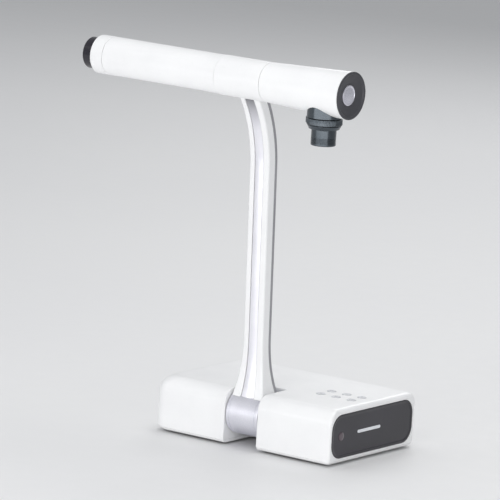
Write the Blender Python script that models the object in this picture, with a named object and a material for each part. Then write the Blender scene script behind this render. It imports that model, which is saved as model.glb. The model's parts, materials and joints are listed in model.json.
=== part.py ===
"""Desktop document camera: weighted base, hinged arm, and a cross tube with a lamp and a camera head.

Metres, +Z up. X runs along the base and the tube, -Y is the front, where the document lies.
The origin is the centre of the footprint at table level.
"""

from math import asin, cos, pi, radians, sin, sqrt

import bmesh
import bpy
from mathutils import Vector

# Driving dimensions: base
BASE_LENGTH = 0.250
BASE_DEPTH = 0.168
BASE_TOP = 0.065
FOOT_HEIGHT = 0.0025
WALL = 0.0025
GAP = 0.0003
NOTCH_WIDTH = 0.046
NOTCH_DEPTH = 0.0555

# Driving dimensions: arm and hub, seen in the Y-Z plane
HUB_RADIUS = 0.026
HUB_WIDTH = 0.0444
HUB_BACK_OF_FRONT = 0.027
HUB_Z = 0.0375
ARM_LEAN = radians(2.2)
ARM_STRAIGHT = 0.285
ARM_BEND = radians(31.0)
ARM_BEND_RADIUS = 0.160
ARM_TO_TUBE_AXIS = 0.0265
ARM_HALF_WIDTH = 0.0136
ARM_HALF_DEPTH = 0.009
FOOT_HALF_WIDTH = 0.0218
FOOT_HALF_DEPTH = 0.0165
FLARE_START = 0.020
FLARE_END = 0.088

# Driving dimensions: cross tube
TUBE_LEFT = 0.222
TUBE_RIGHT = 0.142
LAMP_RADIUS = 0.0220
HEAD_START_RADIUS = 0.0225
HEAD_END_RADIUS = 0.0268
HOUSING_HALF = 0.031
TUBE_WALL = 0.0022
END_RING_LENGTH = 0.017
END_CAP_LENGTH = 0.0155
END_CAP_RADIUS = 0.0180
END_CAP_DOME = 0.003
BEZEL_LENGTH = 0.0012
BEZEL_DISH = 0.004

# Driving dimensions: lens, measured down from the tube's axis
LENS_FROM_END = 0.034
LENS_RADIUS = 0.0140
LENS_BORE_RADIUS = 0.0128
LENS_BOTTOM = 0.0595
COLLAR_RADIUS = 0.0200

ROUND = 32
SMALL_ROUND = 12


def arm_place(distance):
    """Point (y, z) and lean angle on the arm's centre line; y counts from the base's front plane."""
    hub = Vector((HUB_BACK_OF_FRONT, HUB_Z))
    straight = Vector((-sin(ARM_LEAN), cos(ARM_LEAN)))
    if distance <= ARM_STRAIGHT:
        return hub + straight * distance, ARM_LEAN
    bend_start = hub + straight * ARM_STRAIGHT
    turned = min((distance - ARM_STRAIGHT) / ARM_BEND_RADIUS, ARM_BEND)
    angle = ARM_LEAN + turned
    step = Vector((cos(angle) - cos(ARM_LEAN), sin(angle) - sin(ARM_LEAN)))
    past = distance - ARM_STRAIGHT - turned * ARM_BEND_RADIUS
    return bend_start + step * ARM_BEND_RADIUS + Vector((-sin(angle), cos(angle))) * past, angle


ARM_TO_BEND_END = ARM_STRAIGHT + ARM_BEND * ARM_BEND_RADIUS
ARM_LENGTH = ARM_TO_BEND_END + ARM_TO_TUBE_AXIS
TUBE_PLACE = arm_place(ARM_LENGTH)[0]

# Places in the frame, worked out so that the origin is the footprint's centre
HEAD_OVERHANG = HEAD_END_RADIUS - TUBE_PLACE.x
FRONT_Y = HEAD_OVERHANG - (BASE_DEPTH + HEAD_OVERHANG) / 2
BACK_Y = FRONT_Y + BASE_DEPTH
ARM_X = (TUBE_LEFT - TUBE_RIGHT) / 2
LEFT_X = ARM_X - BASE_LENGTH / 2
RIGHT_X = ARM_X + BASE_LENGTH / 2
HUB = Vector((ARM_X, FRONT_Y + HUB_BACK_OF_FRONT, HUB_Z))
TUBE = Vector((ARM_X, FRONT_Y + TUBE_PLACE.x, TUBE_PLACE.y))
LENS_X = ARM_X + TUBE_RIGHT - LENS_FROM_END
LENS = Vector((LENS_X, TUBE.y, TUBE.z))


def material(name, colour, roughness, metallic=0.0):
    made = bpy.data.materials.new(name)
    made.use_nodes = True
    made.diffuse_color = (*colour, 1.0)
    shader = made.node_tree.nodes["Principled BSDF"]
    shader.inputs["Base Color"].default_value = (*colour, 1.0)
    shader.inputs["Roughness"].default_value = roughness
    shader.inputs["Metallic"].default_value = metallic
    return made


def empty(name, place, parent=None):
    """A joint's pivot. Pivots are never rotated, so places simply add up."""
    made = bpy.data.objects.new(name, None)
    bpy.context.scene.collection.objects.link(made)
    made["world"] = list(place)
    made.parent = parent
    made.location = Vector(place) - (Vector(parent["world"]) if parent else Vector())
    return made


def add(name, bm, finish, parent=None, sharp=35):
    """Makes an object from a bmesh in world coordinates, with its origin on its parent's pivot."""
    origin = Vector(parent["world"]) if parent else Vector()
    bmesh.ops.translate(bm, verts=bm.verts, vec=-origin)
    bmesh.ops.recalc_face_normals(bm, faces=bm.faces)
    mesh = bpy.data.meshes.new(name)
    bm.to_mesh(mesh)
    bm.free()
    mesh.shade_smooth()
    mesh.set_sharp_from_angle(angle=radians(sharp))
    made = bpy.data.objects.new(name, mesh)
    bpy.context.scene.collection.objects.link(made)
    if finish:
        mesh.materials.append(finish)
    made.parent = parent
    return made


def cutter(name, bm, parent=None):
    made = add(name, bm, None, parent)
    made.hide_render = True
    made.display_type = "WIRE"
    return made


def cut(target, *tools):
    for tool in tools:
        modifier = target.modifiers.new(tool.name, "BOOLEAN")
        modifier.operation = "DIFFERENCE"
        modifier.object = tool
    return target


def loft(rings, bm=None):
    """Closed solid through rings of equally many points, with flat ends."""
    bm = bm or bmesh.new()
    rows = [[bm.verts.new(point) for point in ring] for ring in rings]
    count = len(rows[0])
    for low, high in zip(rows, rows[1:]):
        for i in range(count):
            j = (i + 1) % count
            bm.faces.new((low[i], low[j], high[j], high[i]))
    bm.faces.new(rows[0][::-1])
    bm.faces.new(rows[-1])
    return bm


def turned(profile, place, axis="Z", segments=ROUND, swell=None, bm=None):
    """Turned solid. The profile is a closed outline of (radius, height); a radius of 0 is on the axis."""
    bm = bm or bmesh.new()
    columns = []
    poles = {}
    for k in range(segments):
        angle = 2 * pi * k / segments
        column = []
        for i, (radius, height) in enumerate(profile):
            if radius == 0 and i in poles:
                column.append(poles[i])
                continue
            reach = radius + (swell(angle, radius) if swell else 0)
            across, up = reach * cos(angle), reach * sin(angle)
            local = (height, across, up) if axis == "X" else (across, up, height)
            vert = bm.verts.new(Vector(place) + Vector(local))
            column.append(vert)
            if radius == 0:
                poles[i] = vert
        columns.append(column)
    count = len(profile)
    for k in range(segments):
        here, there = columns[k], columns[(k + 1) % segments]
        for i in range(count):
            j = (i + 1) % count
            corners = [here[i], here[j], there[j], there[i]]
            unique = list(dict.fromkeys(corners))
            if len(unique) > 2:
                bm.faces.new(unique)
    return bm


def disc(radius, low, high, place, axis="Z", segments=SMALL_ROUND, edge=0.0, bm=None):
    """Plain round rod between two heights, with an optional chamfer at its high end."""
    profile = [(0, low), (radius, low), (radius, high - edge), (radius - edge, high), (0, high)]
    if not edge:
        profile = [(0, low), (radius, low), (radius, high), (0, high)]
    return turned(profile, place, axis, segments, bm=bm)


def tube(outer, inner, low, high, place, axis="Z", segments=ROUND, edge=0.0):
    """Round sleeve, with optional chamfers on its outer edges."""
    profile = [(inner, low), (outer - edge, low), (outer, low + edge)]
    profile += [(outer, high - edge), (outer - edge, high), (inner, high)]
    if not edge:
        profile = [(inner, low), (outer, low), (outer, high), (inner, high)]
    return turned(profile, place, axis, segments)


def box(low, high, edge=0.0, bm=None):
    bm = bm or bmesh.new()
    low, high = Vector(low), Vector(high)
    made = bmesh.ops.create_cube(bm, size=1.0)["verts"]
    for vert in made:
        vert.co = Vector(((low[i] + high[i]) / 2 + vert.co[i] * (high[i] - low[i])) for i in range(3))
    if edge:
        edges = {e for vert in made for e in vert.link_edges}
        bmesh.ops.bevel(bm, geom=list(edges), offset=edge, segments=1, affect="EDGES", profile=0.5)
    return bm


def rounded_outline(low_x, high_x, low_y, high_y, radii, steps=5):
    """Counter-clockwise outline with its own radius at each corner, from low-x low-y onwards."""
    low, high = (low_x, low_y), (high_x, high_y)
    spots = [(*low, 1, 1), (high_x, low_y, -1, 1), (*high, -1, -1), (low_x, high_y, 1, -1)]
    outline = []
    for quarter, ((x, y, inward_x, inward_y), radius) in enumerate(zip(spots, radii)):
        for k in range(steps + 1):
            angle = pi + quarter * pi / 2 + k * pi / 2 / steps
            outline.append((
                x + inward_x * radius + radius * cos(angle),
                y + inward_y * radius + radius * sin(angle),
            ))
    return outline


def extruded_x(outline, low_x, high_x, place):
    """Solid with one (y, z) outline all along X."""
    middle = Vector(place)
    return loft([[middle + Vector((x, y, z)) for y, z in outline] for x in (low_x, high_x)])


# Base
TOP_FRONT_ROUND = 0.017
TOP_BACK_ROUND = 0.012
TOP_LEFT_ROUND = 0.016
TOP_RIGHT_ROUND = 0.006
BOTTOM_ROUND = 0.0055
CORNER_ROUNDS = (0.018, 0.0035, 0.007, 0.018)
END_WALL = 0.0050
PLATE_THICKNESS = 0.003
POST_RADIUS = 0.004
SCREW_HEAD_RADIUS = 0.003
SCREW_RADIUS = 0.0014


def rounding(height, radius):
    """How far a rounded edge of this radius has come in, at a height into the rounding."""
    return radius - sqrt(max(radius * radius - height * height, 0))


def base_ring(z, inset, end_inset):
    """The casing's plan outline at a height, moved in by a wall thickness."""
    below = rounding(max(FOOT_HEIGHT + BOTTOM_ROUND - z, 0), BOTTOM_ROUND)
    top = BASE_TOP - inset

    def side(radius):
        return rounding(min(max(z - (top - radius), 0), radius), radius) + below + inset

    low_x = LEFT_X + side(TOP_LEFT_ROUND)
    high_x = RIGHT_X - side(TOP_RIGHT_ROUND) - end_inset + inset
    low_y = FRONT_Y + side(TOP_FRONT_ROUND)
    high_y = BACK_Y - side(TOP_BACK_ROUND)
    radii = [max(radius - inset, 0.002) for radius in CORNER_ROUNDS]
    return [Vector((x, y, z)) for x, y in rounded_outline(low_x, high_x, low_y, high_y, radii)]


def base_heights(top, bottom):
    heights = [bottom]
    for k in range(4):
        heights.append(FOOT_HEIGHT + BOTTOM_ROUND * (1 - cos(radians(30 * k))))
    for k in range(1, 7):
        heights.append(top - TOP_FRONT_ROUND * (1 - sin(radians(15 * k))))
    return sorted({round(height, 6) for height in heights})


def base_solid(inset=0.0, end_inset=0.0):
    bottom = FOOT_HEIGHT - (0.002 if inset else 0.0)
    heights = base_heights(BASE_TOP - inset, bottom)
    rings = []
    for z in heights:
        rings.append([Vector((p.x, p.y, z)) for p in base_ring(max(z, FOOT_HEIGHT), inset, end_inset)])
    return loft(rings)


def notch_solid(grow):
    """The space for the hub in the front long side, open at the top, the front and the bottom."""
    half = NOTCH_WIDTH / 2 + grow
    radius = 0.004 + grow
    edges = (ARM_X - half, ARM_X + half, FRONT_Y - 0.03, FRONT_Y + NOTCH_DEPTH + grow)
    outline = rounded_outline(*edges, (0.001, 0.001, radius, radius), 4)
    return loft([[Vector((x, y, z)) for x, y in outline] for z in (-0.01, BASE_TOP + 0.01)])


POSTS = [
    Vector((x, y, 0))
    for x in (LEFT_X + 0.021, RIGHT_X - 0.021)
    for y in (FRONT_Y + 0.021, BACK_Y - 0.021)
]
FEET = [
    Vector((x, y, 0))
    for x in (LEFT_X + 0.042, RIGHT_X - 0.042)
    for y in (FRONT_Y + 0.026, BACK_Y - 0.026)
]

PANEL_LOW_Z = 0.0086
PANEL_HIGH_Z = 0.0586
PANEL_FRONT = 0.0035
PANEL_BACK = 0.0075
PANEL_ROUND = 0.0175
PANEL_THICKNESS = 0.0022
PANEL_EDGE = 0.0004
PANEL_MIDDLE_Z = (PANEL_LOW_Z + PANEL_HIGH_Z) / 2
LIGHT_FROM_FRONT = 0.0755
LIGHT_HALF_LENGTH = 0.0220
LIGHT_HALF_HEIGHT = 0.0018
LIGHT_ABOVE_MIDDLE = 0.0012
WINDOW_FROM_FRONT = 0.022
WINDOW_RADIUS = 0.0050
POCKET_DEPTH = 0.0011
POCKET_GAP = 0.0002
LIGHT_PROUD = 0.0002

BUTTON_RADIUS = 0.0052
BUTTON_TOP = BASE_TOP + 0.0009
BUTTON_NAMES = (
    "power_button",
    "lamp_button",
    "freeze_button",
    "zoom_in_button",
    "zoom_out_button",
    "rotate_button",
)
BUTTON_SPACING = 0.021
FIRST_BUTTON = Vector((RIGHT_X - 0.022, FRONT_Y + 0.068, BASE_TOP))
BUTTON_PLACES = [
    FIRST_BUTTON + Vector((-column, row, 0)) * BUTTON_SPACING
    for row in range(2)
    for column in range(3)
]

PORT_Z = 0.029
PORT_DEPTH = 0.011
PORT_SKIN = 0.0007
PORT_SIZES = {"video_socket": (0.0155, 0.0062), "usb_socket": (0.0134, 0.0062)}
PORT_PLACES = {"video_socket": ARM_X + 0.052, "usb_socket": ARM_X + 0.078}
INLET_X = ARM_X + 0.030
INLET_RADIUS = 0.0048
INLET_BORE_RADIUS = 0.0034
PIN_RADIUS = 0.004


def panel_outline(shrink):
    return rounded_outline(
        FRONT_Y + PANEL_FRONT + shrink,
        BACK_Y - PANEL_BACK - shrink,
        PANEL_LOW_Z + shrink,
        PANEL_HIGH_Z - shrink,
        (PANEL_ROUND - shrink,) * 4,
        6,
    )


def panel_ring(x, shrink):
    return [Vector((x, y, z)) for y, z in panel_outline(shrink)]


def port_hole(name, grow, low_y, high_y, bm=None):
    width, height = PORT_SIZES[name]
    x = PORT_PLACES[name]
    low = (x - width / 2 - grow, low_y, PORT_Z - height / 2 - grow)
    high = (x + width / 2 + grow, high_y, PORT_Z + height / 2 + grow)
    return box(low, high, bm=bm)


def make_base_shell(white):
    shell = add("base_shell", base_solid(), white, sharp=30)
    cavity = cutter("cut_base_cavity", base_solid(WALL, END_WALL))
    posts = bmesh.new()
    for post in POSTS:
        disc(POST_RADIUS, FOOT_HEIGHT + PLATE_THICKNESS + GAP, BASE_TOP, post, bm=posts)
    cut(cavity, cutter("cut_notch_walls", notch_solid(WALL)), cutter("cut_posts", posts))
    holes = bmesh.new()
    for post in POSTS:
        disc(SCREW_RADIUS + GAP, 0.0, 0.017, post, segments=8, bm=holes)
    for place in BUTTON_PLACES:
        disc(BUTTON_RADIUS + GAP, -0.01, 0.01, place, bm=holes)
    for name in PORT_SIZES:
        port_hole(name, PORT_SKIN + GAP, BACK_Y - 0.01, BACK_Y + 0.01, bm=holes)
    disc(PIN_RADIUS + GAP, -0.030, 0.030, HUB, axis="X", bm=holes)
    inlet = Vector((INLET_X, BACK_Y, PORT_Z))
    round_y(INLET_RADIUS + GAP, -0.01, 0.01, inlet, holes)
    rings = [panel_ring(x, -GAP) for x in (RIGHT_X - PANEL_THICKNESS, RIGHT_X + 0.01)]
    cut(shell, cavity, cutter("cut_notch", notch_solid(0.0)), cutter("cut_holes", holes))
    cut(shell, cutter("cut_panel_recess", loft(rings)))


def round_y(radius, low, high, place, bm, segments=SMALL_ROUND):
    """Plain rod along Y."""
    rings = []
    for y in (low, high):
        ring = []
        for k in range(segments):
            angle = 2 * pi * k / segments
            ring.append(Vector(place) + Vector((radius * cos(angle), y, radius * sin(angle))))
        rings.append(ring)
    return loft(rings, bm)


def make_base_plate(grey, steel, rubber):
    outline = base_ring(FOOT_HEIGHT, WALL + GAP, END_WALL + GAP)
    heights = (FOOT_HEIGHT, FOOT_HEIGHT + PLATE_THICKNESS)
    plate = add("base_plate", loft([[Vector((p.x, p.y, z)) for p in outline] for z in heights]), grey)
    holes = bmesh.new()
    for post in POSTS:
        disc(SCREW_HEAD_RADIUS + GAP, 0.0, FOOT_HEIGHT + 0.0018, post, segments=12, bm=holes)
    shanks = bmesh.new()
    for post in POSTS:
        disc(SCREW_RADIUS + GAP, 0.0, 0.01, post, segments=8, bm=shanks)
    walls = cutter("cut_plate_notch", notch_solid(WALL + GAP))
    cut(plate, walls, cutter("cut_screw_heads", holes), cutter("cut_screw_shanks", shanks))
    for number, post in enumerate(POSTS, 1):
        low, neck = FOOT_HEIGHT + 0.0002, FOOT_HEIGHT + 0.0015
        profile = [(0, low), (SCREW_HEAD_RADIUS, low), (SCREW_HEAD_RADIUS, neck), (SCREW_RADIUS, neck)]
        profile += [(SCREW_RADIUS, 0.0150), (0, 0.0160)]
        add(f"base_screw_{number}", turned(profile, post, segments=12), steel)
    for number, place in enumerate(FEET, 1):
        top = FOOT_HEIGHT - GAP
        profile = [(0, 0), (0.0060, 0), (0.0070, 0.0008), (0.0070, top), (0, top)]
        add(f"rubber_foot_{number}", turned(profile, place, segments=SMALL_ROUND), rubber)


def make_end_panel(black, light, window):
    back = RIGHT_X - PANEL_THICKNESS + GAP
    rings = [panel_ring(x, GAP / 2) for x in (back, RIGHT_X - PANEL_EDGE)]
    rings.append(panel_ring(RIGHT_X, GAP / 2 + PANEL_EDGE))
    panel = add("end_panel", loft(rings), black)

    def pill(grow):
        middle_y, middle_z = FRONT_Y + LIGHT_FROM_FRONT, PANEL_MIDDLE_Z + LIGHT_ABOVE_MIDDLE
        half_y, half_z = LIGHT_HALF_LENGTH + grow, LIGHT_HALF_HEIGHT + grow
        edges = (middle_y - half_y, middle_y + half_y, middle_z - half_z, middle_z + half_z)
        return rounded_outline(*edges, (half_z - 0.0001,) * 4, 3)

    def slab(outline, low, high):
        return loft([[Vector((RIGHT_X + x, y, z)) for y, z in outline] for x in (low, high)])

    window_place = Vector((RIGHT_X, FRONT_Y + WINDOW_FROM_FRONT, PANEL_MIDDLE_Z))
    window_pocket = disc(WINDOW_RADIUS + POCKET_GAP, -POCKET_DEPTH, 0.01, window_place, axis="X")
    cut(panel, cutter("cut_light", slab(pill(POCKET_GAP), -POCKET_DEPTH, 0.01)))
    cut(panel, cutter("cut_window", window_pocket))
    low = GAP - POCKET_DEPTH
    add("status_light", slab(pill(0.0), low, LIGHT_PROUD), light)
    add("ir_window", disc(WINDOW_RADIUS, low, LIGHT_PROUD, window_place, axis="X"), window)


def make_buttons(grey, pivot_of):
    under = BASE_TOP - WALL - GAP
    for name, place in zip(BUTTON_NAMES, BUTTON_PLACES):
        pivot = pivot_of(name, place)
        low = under - 0.0035
        collar = under - 0.0012
        profile = [(0, low), (0.0020, low), (0.0020, collar), (0.0064, collar), (0.0064, under)]
        profile += [(BUTTON_RADIUS, under), (BUTTON_RADIUS, BUTTON_TOP - 0.0006)]
        profile += [(BUTTON_RADIUS - 0.0006, BUTTON_TOP), (0, BUTTON_TOP)]
        flat = Vector((place.x, place.y, 0))
        add(name, turned(profile, flat, segments=SMALL_ROUND), grey, pivot)


def make_ports(steel, black):
    for name, (width, height) in PORT_SIZES.items():
        x = PORT_PLACES[name]
        front = BACK_Y - 0.0002
        back = front - PORT_DEPTH
        body = add(name, port_hole(name, PORT_SKIN, back, front), steel)
        cut(body, cutter(f"cut_{name}", port_hole(name, 0.0, back + 0.0015, front + 0.01)))
    inlet = Vector((INLET_X, BACK_Y, PORT_Z))
    body = add("power_inlet", round_y(INLET_RADIUS, -0.0110, -0.0002, inlet, bmesh.new()), black)
    bore = cutter("cut_inlet_bore", round_y(INLET_BORE_RADIUS, -0.0090, 0.01, inlet, bmesh.new()))
    pin = cutter("cut_inlet_pin", round_y(0.0010, -0.0095, -0.0010, inlet, bmesh.new(), 8))
    cut(bore, pin)
    cut(body, bore)


def make_base_insides(steel, board_green):
    floor = FOOT_HEIGHT + PLATE_THICKNESS + GAP
    low = (LEFT_X + 0.028, FRONT_Y + 0.016, floor)
    high = (ARM_X - 0.048, BACK_Y - 0.016, floor + 0.010)
    add("ballast_plate", box(low, high, 0.001), steel)
    board_top = PORT_Z - 0.0062 / 2 - PORT_SKIN - GAP - 0.0018
    low = (ARM_X + 0.020, BACK_Y - 0.062, board_top - 0.0016)
    high = (POSTS[-1].x - POST_RADIUS - 0.002, BACK_Y - 0.004, board_top)
    add("main_board", box(low, high), board_green)
    spots_x = [place.x for place in BUTTON_PLACES]
    spots_y = [place.y for place in BUTTON_PLACES]
    low = (min(spots_x) - 0.009, min(spots_y) - 0.009, BASE_TOP - 0.0105)
    high = (max(spots_x) + 0.009, max(spots_y) + 0.009, BASE_TOP - 0.0089)
    add("button_board", box(low, high), board_green)


BRACKET_X = NOTCH_WIDTH / 2 + WALL + GAP
BRACKET_THICKNESS = 0.003
BRACKET_HALF = 0.014
BRACKET_FOOT = 0.015


def make_hinge(steel, dark):
    floor = FOOT_HEIGHT + PLATE_THICKNESS + GAP
    top = HUB_Z + BRACKET_HALF
    for name, side in (("hinge_bracket_left", -1), ("hinge_bracket_right", 1)):
        near, far = BRACKET_X, BRACKET_X + BRACKET_THICKNESS
        step = floor + BRACKET_THICKNESS
        outline = [(near, floor), (far + BRACKET_FOOT, floor), (far + BRACKET_FOOT, step)]
        outline += [(far, step), (far, top), (near, top)]
        ends = (HUB.y - BRACKET_HALF, HUB.y + BRACKET_HALF)
        bracket = loft([[Vector((ARM_X + side * x, y, z)) for x, z in outline] for y in ends])
        body = add(name, bracket, steel)
        centre = Vector((ARM_X + side * (near + far) / 2, HUB.y, HUB_Z))
        cut(body, cutter(f"cut_{name}", disc(PIN_RADIUS + GAP, -0.01, 0.01, centre, axis="X")))
        inner = HUB_WIDTH / 2 - 0.0026
        outer = HUB_WIDTH / 2 + 0.0002
        low, high = sorted((side * inner, side * outer))
        washer = tube(0.0130, PIN_RADIUS + GAP, low, high, HUB, "X")
        add(name.replace("hinge_bracket", "friction_disc"), washer, dark)
    reach = BRACKET_X + BRACKET_THICKNESS + 0.004
    neck = PIN_RADIUS - 0.0006
    profile = [(0, -reach), (neck, -reach), (PIN_RADIUS, 0.0006 - reach)]
    profile += [(PIN_RADIUS, reach - 0.0006), (neck, reach), (0, reach)]
    add("hinge_pin", turned(profile, HUB, "X", SMALL_ROUND), steel)


# Arm
STRIP_HALF_WIDTH = 0.0063
STRIP_FLARE = 0.354
COVER_THICKNESS = 0.0018
REAR_COVER_DEPTH = 0.0055
ARM_WALL = 0.0040


def arm_stations(first, last):
    """Distances along the arm: close together in the flare and the bend, far apart in the straight."""
    flare = [FLARE_START + (FLARE_END - FLARE_START) * k / 8 for k in range(9)]
    bend = [ARM_STRAIGHT + ARM_BEND_RADIUS * ARM_BEND * k / 9 for k in range(10)]
    inside = [distance for distance in flare + bend if first < distance < last]
    return [first, *inside, last]


def arm_size(distance):
    flare = min(max((FLARE_END - distance) / (FLARE_END - FLARE_START), 0), 1)
    half_width = ARM_HALF_WIDTH + (FOOT_HALF_WIDTH - ARM_HALF_WIDTH) * flare**2.0
    half_depth = ARM_HALF_DEPTH + (FOOT_HALF_DEPTH - ARM_HALF_DEPTH) * flare**2.6
    return half_width, half_depth


def arm_ring(distance, section):
    """A section (across, forward) laid square to the arm's centre line."""
    place, angle = arm_place(distance)
    forward = Vector((0, -cos(angle), -sin(angle)))
    centre = Vector((ARM_X, FRONT_Y + place.x, place.y))
    return [centre + Vector((across, 0, 0)) + forward * ahead for across, ahead in section]


def swept(section_of, first, last):
    stations = arm_stations(first, last)
    return loft([arm_ring(distance, section_of(*arm_size(distance))) for distance in stations])


def strip_half_width(half_width):
    """The front strip leaves a white border on both sides and widens less than the arm does."""
    return STRIP_HALF_WIDTH + STRIP_FLARE * (half_width - ARM_HALF_WIDTH)


def front_cover_section(half_width, half_depth):
    wide = strip_half_width(half_width) - GAP
    low, high, edge = half_depth - COVER_THICKNESS, half_depth, 0.0006
    left = [(-wide, low), (-wide, high - edge), (edge - wide, high)]
    return left + [(wide - edge, high), (wide, high - edge), (wide, low)]


def shell_section(half_width, half_depth):
    """Channel open to the rear, with a recess for the front cover."""
    w, d = half_width, half_depth
    lip, floor = strip_half_width(w), d - COVER_THICKNESS - GAP
    inner, ceiling = w - ARM_WALL, d - 0.0044
    rear = REAR_COVER_DEPTH + GAP - d
    edge = 0.0008
    right = [(inner, ceiling), (inner, rear), (w, rear), (w, d - edge), (w - edge, d)]
    right += [(lip, d), (lip, floor)]
    return right + [(-x, y) for x, y in reversed(right)]


def rear_cover_section(half_width, half_depth):
    """Shallow channel that closes the arm's rear, with rounded outer edges."""
    w, d = half_width, half_depth
    top = REAR_COVER_DEPTH - d
    radius = 0.0048
    right = [(w - ARM_WALL, top), (w, top)]
    for k in range(5):
        angle = -k * pi / 8
        right.append((w - radius + radius * cos(angle), radius - d + radius * sin(angle)))
    left = [(-x, y) for x, y in reversed(right)]
    floor = 0.0022 - d
    return right + left + [(ARM_WALL - w, floor), (w - ARM_WALL, floor)]


def core_section(_half_width, _half_depth):
    return [(-0.0080, -0.0045), (0.0015, -0.0045), (0.0015, 0.0010), (-0.0080, 0.0010)]


def cable_section(_half_width, _half_depth):
    turns = [k * pi / 4 for k in range(8)]
    return [(0.0058 + 0.0022 * cos(turn), -0.0015 + 0.0022 * sin(turn)) for turn in turns]


def make_arm(silver, white, grey, metal, rubber, pivot):
    hub_hole = disc(HUB_RADIUS + GAP, -0.04, 0.04, HUB, "X", ROUND)
    tube_hole = disc(HEAD_START_RADIUS + GAP, -0.05, 0.05, TUBE, "X", ROUND)
    hub_space = cutter("cut_hub_space", hub_hole, pivot)
    tube_space = cutter("cut_tube_space", tube_hole, pivot)
    for name, section, finish in (
        ("arm_front_cover", front_cover_section, silver),
        ("arm_shell", shell_section, white),
        ("arm_rear_cover", rear_cover_section, grey),
    ):
        piece = swept(section, FLARE_START, ARM_LENGTH - 0.012)
        cut(add(name, piece, finish, pivot), hub_space, tube_space)
    inside = ARM_LENGTH - 0.0145
    cut(add("arm_core", swept(core_section, FLARE_START, inside), metal, pivot), hub_space)
    cut(add("arm_cable", swept(cable_section, FLARE_START, inside), rubber, pivot), hub_space)
    half = HUB_WIDTH / 2
    profile = [(PIN_RADIUS + GAP, -half + 0.003), (0.0133, -half + 0.003), (0.0133, -half)]
    profile += [(HUB_RADIUS - 0.001, -half), (HUB_RADIUS, -half + 0.001)]
    profile += [(radius, -height) for radius, height in reversed(profile)]
    add("hub_barrel", turned(profile, HUB, "X", ROUND), silver, pivot)


# Cross tube
SEAM = 0.0004
BORE_RADIUS = 0.0125
PIVOT_RADIUS = 0.0120
PIVOT_BORE = 0.0060
FLANGE_RADIUS = 0.0165
END_WALL_THICKNESS = 0.003


def make_centre_housing(white, pivot):
    housing = tube(HEAD_START_RADIUS, BORE_RADIUS, -HOUSING_HALF, HOUSING_HALF, TUBE, "X", ROUND, 0.0004)
    body = add("centre_housing", housing, white, pivot)
    core = cutter("cut_core_slot", swept(slot_section, ARM_LENGTH - 0.035, ARM_LENGTH - 0.008), pivot)
    cut(body, core)


def slot_section(_half_width, _half_depth):
    low_x, high_x, low_y, high_y = -0.0083, 0.0083, -0.0048, 0.0013
    return [(low_x, low_y), (high_x, low_y), (high_x, high_y), (low_x, high_y)]


def make_pivot(name, side, metal, pivot):
    """Hollow spindle: pressed into the housing's bore, with a flange that holds the turning section on."""
    wall_end = HOUSING_HALF + SEAM + END_WALL_THICKNESS + GAP
    profile = [(PIVOT_BORE, 0.0100), (PIVOT_RADIUS, 0.0100), (PIVOT_RADIUS, wall_end)]
    profile += [(FLANGE_RADIUS, wall_end), (FLANGE_RADIUS, wall_end + 0.002)]
    profile += [(PIVOT_BORE, wall_end + 0.002)]
    add(name, turned([(r, side * x) for r, x in profile], TUBE, "X"), metal, pivot)


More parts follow.
